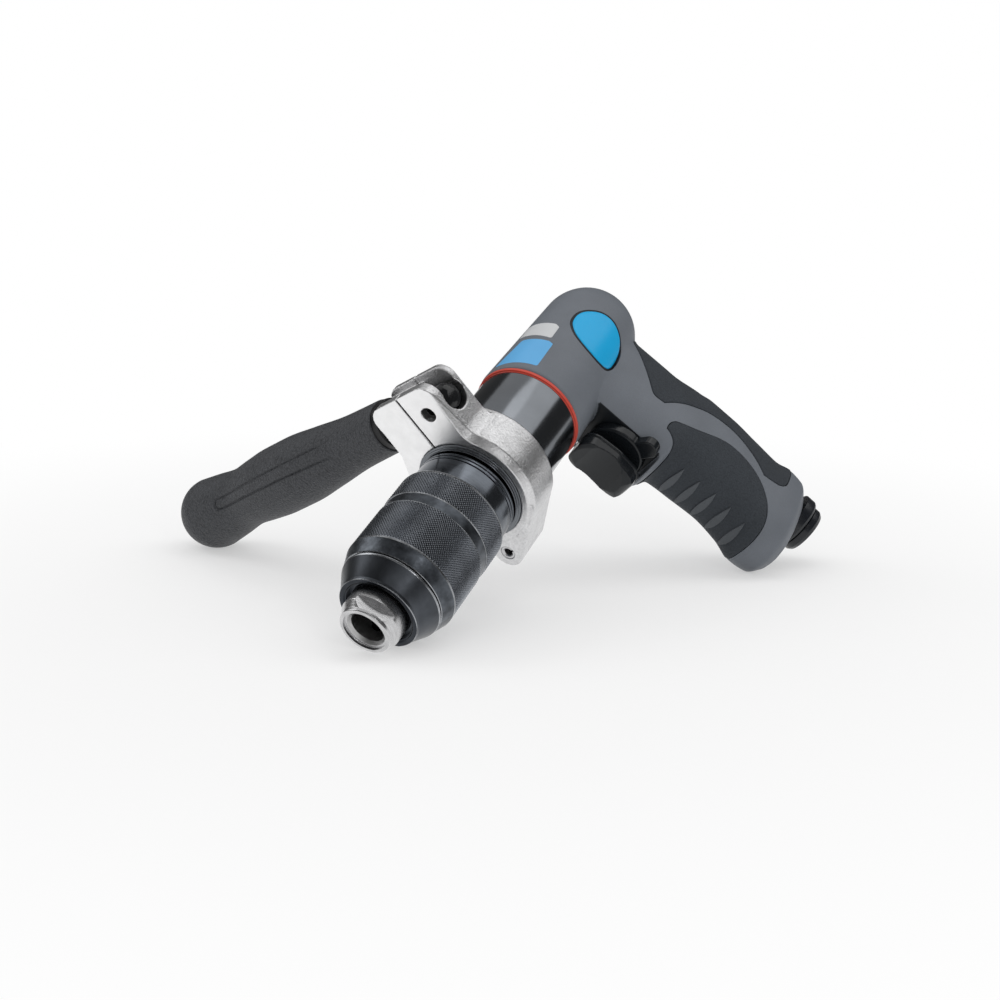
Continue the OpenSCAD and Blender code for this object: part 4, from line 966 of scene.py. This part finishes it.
def clamp_pieces():
    neck = rod(CASE_R + 0.06, *CLAMP_SPAN, sides=180)
    bolt_hole = rod(BOLT_R + 0.1, -40, 40, "x", (0, HANDLE_Y, HANDLE_OFFSET), 72, CLAMP_TURN)
    pin_hole = rod(PIN_R + 0.03, *CLAMP_SPAN, "y", (HINGE_X, 0, HINGE_Z), 72, CLAMP_TURN)
    rod_hole = rod(ROD_R, *CLAMP_SPAN, "y", (ROD_X, 0, HANDLE_OFFSET), 72, CLAMP_TURN)
    right = cut(combine(to_tool("clamp_right"), hinge_web(), "UNION"), front_bevel())
    for name, form in (("clamp_left", to_tool("clamp_left")), ("clamp_right", right)):
        half = cut(soften(voxels(form, 0.34), 7), neck, bolt_hole, pin_hole, rod_hole)
        casting = tool_piece(name.replace("clamp", "cast_half"), half, "cast", "clamp", "cast_alloy", (name,),
                             sharp=50)
        at, forward = face_places(casting)
        up = at[:, 0] * math.sin(CLAMP_TURN) + at[:, 2] * math.cos(CLAMP_TURN)
        finishes(casting, ("machined", (forward > 0.9) & (at[:, 1] < CLAMP_Y + 0.5) & (up > 15)))

    # Rolled spring pin of the hinge
    pin_end = CLAMP_Y + CLAMP_W - 0.3
    points, faces = lathe_mesh([
        (1.7, CLAMP_Y + 0.8), (2.1, CLAMP_Y + 0.35), (2.75, CLAMP_Y + 0.3), (PIN_R, CLAMP_Y + 0.55),
        (PIN_R, pin_end), (1.7, pin_end)], 72, "y", (HINGE_X, 0, HINGE_Z))
    rolled = solid(about_spindle(points, CLAMP_TURN), faces)
    seam = box("y", HINGE_X, HINGE_X + 4, HINGE_Z - 0.4, HINGE_Z + 0.4, CLAMP_Y - 1, pin_end + 1)
    tool_piece("spring_pin", cut(rolled, in_clamp(seam)), "spring", "clamp", "chuck_steel", ("hinge_pin",),
               sharp=40)

    # Eye bolt with a domed head
    points, faces = lathe_mesh(rounded([
        (0, 15.9, 0), (2.6, 15.75, 1.0), (4.6, 15.0, 1.0), (5.6, 13.4, 1.0), (5.6, 3.5, 0.3),
        (BOLT_R, 3.5, 0.2), (BOLT_R, -39.6, 0.4), (0, -39.6, 0)], 0.3), 96, "x", (0, HANDLE_Y, HANDLE_OFFSET))
    bolt = cut(solid(about_spindle(points, CLAMP_TURN), faces), rod_hole)
    tool_piece("eye_bolt", bolt, "bolt", "clamp", "black_steel", ("clamp_bolt",), sharp=40)


# Trigger, reversing lever, valve spring and inlet

# Circles of the trigger's outline from the front: x, height and radius
CHEEKS = [(-1.8, -44.3, 6.6), (1.8, -44.3, 6.6), (0, TRIGGER_Z, 9.3), (-2.6, -29.4, 6.0), (2.6, -29.4, 6.0)]


def cheeks(grow, low, high):
    return prism(round_outline([(x, z, r + grow) for x, z, r in CHEEKS]), "y", low, high)


def trigger_cap():
    """Trigger with rounded cheeks, a bead round its back and a scooped front."""
    cap = combine(to_tool("trigger"), cheeks(0, *TRIGGER_SPAN), "INTERSECT")
    bead = cut(cheeks(0.45, TRIGGER_BACK_Y - 1.3, TRIGGER_BACK_Y), cheeks(-1.5, *TRIGGER_SPAN),
               box("y", -20, 20, TRIGGER_TOP_Z, 0, *TRIGGER_SPAN))
    scoop = prism(round_outline([(TRIGGER_BACK_Y - 20.7, TRIGGER_Z + 1.5, 16.0)]), "x", -20, 20)
    cap = soften(voxels(cut(combine(cap, bead, "UNION"), scoop), 0.24), 4)
    cap = tool_piece("trigger_cap", cap, "black", "trigger", "black_plastic", ("trigger",), sharp=60)
    at, forward = face_places(cap)
    finishes(cap, ("thumb", (forward > 0.55) & (at[:, 1] < TRIGGER_BACK_Y - 1.5)))


def reverse_wing():
    """Drum of the reversing lever with its two rounded tabs."""
    wings = prism(round_outline([(-16.4, 0, 4.1), (16.4, 0, 4.1)]), "y", *LEVER_SPAN)
    set_coords(wings, about_spindle(coords(wings), LEVER_TURN) + np.array([0, 0, TRIGGER_Z]))
    drum = rod(12.9, *LEVER_SPAN, "y", (0, 0, TRIGGER_Z))
    lever = combine(to_tool("reverse_lever"), combine(wings, drum, "UNION"), "INTERSECT")
    tool_piece("reverse_wing", soften(voxels(lever, 0.26), 8), "black", "reverse_lever", "black_plastic",
               ("reverse_lever",), sharp=60)


def valve_spring():
    """Coil behind the throttle, drawn at rest; the trigger squeezes the real one as it goes in."""
    wire, turns, steps, sides = 0.6, 6, 40, 12
    ends = coords(to_tool("valve_spring"))[:, 1]
    front, back = ends.min(), ends.max()
    at = np.arange(turns * steps + 1) / steps
    a, b = at * 2 * math.pi, angles_of(sides)
    centre = front + wire + (back - front - 2 * wire) * at / turns
    r = SPRING_R + wire * np.cos(b)
    points = np.stack([np.outer(np.cos(a), r), centre[:, None] + wire * np.sin(b),
                       TRIGGER_Z + np.outer(np.sin(a), r)], -1)
    spring = piece("coil_spring", points.reshape(-1, 3), tube_faces(len(at), sides), "spring", "frame",
                   "spring_steel", ("valve_spring",), sharp=60)
    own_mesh(spring)


def inlet_sleeve():
    """Inlet bushing with its flange and groove, turned about its own axis."""
    rim_r, groove_r, flange_r = INLET_R - 0.3, INLET_R - 1.0, INLET_R + 1.5
    profile = rounded([
        (INLET_BORE_R, -INLET_LEN), (INLET_R - 1.3, -INLET_LEN, 0.5), (rim_r, -8.4, 0.6), (rim_r, -5.9, 0.3),
        (groove_r, -5.7, 0.15), (groove_r, -5.2, 0.15), (INLET_R + 0.9, -5.0, 0.5), (flange_r, -4.0, 0.5),
        (flange_r, -0.1, 0.3), (9.0, -0.1, 0), (9.0, 13), (4.225, 13), (4.225, 4), (INLET_BORE_R, 4)], 0.3)
    points, faces = lathe_mesh(profile, axis="z", at=(0, INLET_Y, GRIP_Z))
    piece("inlet_sleeve", points, faces, "inlet", "frame", "black_plastic", ("inlet_bushing",))


# Side handle: turned grip with a moulded loop groove

# Share of the way to the bulb, and radius as a share of the bulb's
HANDLE = [(0, 0.671), (0.183, 0.709), (0.351, 0.835), (0.489, 0.93), (0.603, 0.937), (0.702, 0.886),
          (0.794, 0.829), (0.908, 0.924), (1, 1)]
LOOP_SIDE, LOOP_END = 150, 127.0
LINE_DEPTH, STRIP_DEPTH = 0.75, 0.22
SEAM_SIDE, SEAM_HEIGHT = 190, 0.16


def handle_radius(t):
    share, size = np.array(HANDLE).T
    return smooth_steps(HANDLE_START + share * (BULB_T - HANDLE_START), size * BULB_R, t)


def way_round(turn, side, r):
    """Distance round the handle from the line at a side, in degrees."""
    off = (np.degrees(turn) - side) % 360
    return np.radians(np.where(off > 180, off - 360, off)) * r


def loop_groove(t, turn, r):
    """Depth of the moulded loop, a sunk strip with a fine line round it, less the ridge of the seam."""
    half = np.clip(3.1 - 0.012 * (t - 60), 2.4, 3.3)
    reach = np.hypot(way_round(turn, LOOP_SIDE, r), np.maximum(t - LOOP_END, 0)) - half
    fade = np.clip((t - 44) / 14, 0, 1)
    line = np.exp(-(reach / 0.45) ** 2) * LINE_DEPTH
    floor = STRIP_DEPTH / (1 + np.exp(np.clip(reach / 0.15, -50, 50)))
    ridge = SEAM_HEIGHT * np.exp(-(way_round(turn, SEAM_SIDE, r) / 0.5) ** 2)
    return (line + floor) * fade - ridge * np.clip((140 - t) / 12, 0, 1)


def side_handle():
    """Handle with a smooth end at the clamp, a bored mouth and a round bulb."""
    angles = angles_of(300)
    around = len(angles)
    t = np.linspace(HANDLE_START + 4.1, BULB_T, 300)
    grip = list(zip(handle_radius(t), t))
    grip += [(BULB_R * math.cos(a), BULB_T + BULB_R * math.sin(a))
             for a in np.linspace(0, math.pi / 2, 26)[1:-1]]
    end_r = handle_radius(np.array([HANDLE_START]))[0] - 0.5
    rim_r = grip[0][0]
    bore_end = HANDLE_START + HANDLE_BORE_LEN
    mouth = [(r, HANDLE_START + y) for r, y in (
        (HANDLE_BORE_R, HANDLE_BORE_LEN), (HANDLE_BORE_R, 0.3), (HANDLE_BORE_R + 0.3, 0), (end_r - 0.6, 0),
        (end_r, 0.5), (end_r, 3.4), (rim_r - 0.35, 3.5), (rim_r - 0.08, 3.75))]
    points = []
    for r, y in mouth + grip:
        grooved = y > HANDLE_START + 20 and r > 8
        depth = loop_groove(np.full(around, y), angles, r) if grooved else 0.0
        points.append(ring(r - depth, y, angles))
    count = len(points)
    last, tip, floor = (count - 1) * around, count * around, count * around + 1
    points.append(np.array([[0, BULB_T + BULB_R, 0], [0, bore_end, 0]]))
    faces = ring_faces(count, around)
    faces += [(last + k, last + (k + 1) % around, tip) for k in range(around)]
    faces += [((k + 1) % around, k, floor) for k in range(around)]
    x, along, z = np.concatenate(points).T
    points = about_spindle(np.stack([-along, HANDLE_Y + x, HANDLE_OFFSET + z], 1), CLAMP_TURN)
    handle = piece("grained_handle", points, faces, "handle", "handle", "black_plastic", ("side_handle",))
    at, _ = face_places(handle)
    away = at[:, 2] * math.sin(CLAMP_TURN) - at[:, 0] * math.cos(CLAMP_TURN)
    finishes(handle, ("handle_end", away < HANDLE_START + 3.45))


# Studio: floor, world, the photograph's camera and the lamps, in metres

LAMP_AIM = (0.0, 0.0, 0.05)


def rays(tree, *kinds):
    """1 for any of the given kinds of ray."""
    path = node(tree, "LightPath").node.outputs
    out = path[kinds[0]]
    for kind in kinds[1:]:
        out = node(tree, "Math", {0: out, 1: path[kind]}, operation="MAXIMUM")
    return out


def studio_floor():
    """Pale floor that turns into the white background away from the tool."""
    bm = bmesh.new()
    bmesh.ops.create_circle(bm, cap_ends=True, radius=6.0, segments=96)
    mesh = bpy.data.meshes.new("floor")
    bm.to_mesh(mesh)
    bm.free()
    floor = linked("floor", mesh)
    floor.location.z = -0.0002
    mat, tree, shader = new_material("pale_floor", {
        "Base Color": (0.94, 0.94, 0.94, 1), "Roughness": 0.7, "Specular IOR Level": 0.1})
    where = node(tree, "NewGeometry", output="Position")
    far = node(tree, "VectorMath", {0: where}, output="Value", operation="LENGTH")
    fade = node(tree, "MapRange", {"Value": far, "From Min": 0.12, "From Max": 0.42, "To Min": 0.45},
                interpolation_type="SMOOTHSTEP")
    seen = node(tree, "Math", {0: fade, 1: rays(tree, "Is Camera Ray", "Is Transmission Ray")},
                operation="MULTIPLY")
    white = node(tree, "Math", {0: rays(tree, "Is Glossy Ray"), 1: 0.85, 2: seen},
                 operation="MULTIPLY_ADD", use_clamp=True)
    mix = node(tree, "MixShader", {"Fac": white, 1: shader.outputs[0], 2: node(tree, "Emission")})
    tree.links.new(mix, tree.nodes["Material Output"].inputs["Surface"])
    floor.data.materials.append(mat)


def studio_world():
    """White to the camera, dimmer as light on the tool and dimmer still in its mirrors."""
    world = bpy.data.worlds.new("studio")
    bpy.context.scene.world = world
    world.use_nodes = True
    tree = world.node_tree
    seen = rays(tree, "Is Camera Ray", "Is Transmission Ray")
    plain = node(tree, "MapRange", {"Value": seen, "To Min": 0.53, "To Max": 1.0})
    dim = node(tree, "MapRange", {"Value": rays(tree, "Is Glossy Ray"), "To Min": 1.0, "To Max": 0.16})
    level = node(tree, "Math", {0: plain, 1: dim}, operation="MULTIPLY")
    sky = tree.nodes["Background"]
    sky.inputs["Color"].default_value = (1, 1, 1, 1)
    tree.links.new(level, sky.inputs["Strength"])


def lamp(name, at, size, power, size_y=None):
    data = bpy.data.lights.new(name, "AREA")
    data.energy = power
    data.size = size
    if size_y:
        data.shape = "RECTANGLE"
        data.size_y = size_y
    obj = linked(name, data)
    obj.location = at
    obj.rotation_mode = "QUATERNION"
    obj.rotation_quaternion = (Vector(LAMP_AIM) - Vector(at)).to_track_quat("-Z", "Y")


def photo_camera():
    """The photograph's camera, worked out in the tool frame: 54 mm on a 36 mm sensor."""
    data = bpy.data.cameras.new("photo_camera")
    data.lens = 54.0
    data.sensor_width = 36.0
    data.clip_start, data.clip_end = 0.01, 30.0
    cam = linked("photo_camera", data)
    eye = place([429.61, -285.91, 41.5])
    right = direction(0.47839, 0.44606, -0.75642)
    down = direction(-0.45124, -0.61409, -0.64752)
    turn = Matrix((right, -down, -right.cross(down))).transposed()
    cam.matrix_world = Matrix.Translation(eye) @ turn.to_4x4()
    bpy.context.scene.camera = cam


turned_rings()
housing_pieces()
badge()
sticker("upper_sticker", [(163.9, 84), (163.6, 71), (162.5, 42), (160.8, 36), (152.4, 35), (154.7, 80)],
        "silver_film")
sticker("lower_sticker", [(150.6, 69), (150.2, 35), (149.1, 29), (133.1, 27.6), (132.1, 78)], "blue_film")
chuck_sleeve()
chuck_body()
clamp_pieces()
trigger_cap()
reverse_wing()
valve_spring()
inlet_sleeve()
side_handle()

studio_floor()
studio_world()
photo_camera()
lamp("key_softbox", (0.40, 0.33, 0.80), 0.5, 1.8, 0.85)
lamp("overhead", (-0.25, 0.1, 1.1), 1.1, 2.3)
lamp("front_fill", (0.55, -1.0, 0.75), 0.7, 0.9)
lamp("side_strip", (0.87, -0.61, 0.56), 0.12, 0.9, 0.34)
lamp("left_fill", (-0.75, -0.2, 0.65), 0.5, 1.7, 0.5)
bpy.context.scene.view_settings.view_transform = "Standard"

bpy.context.view_layer.update()
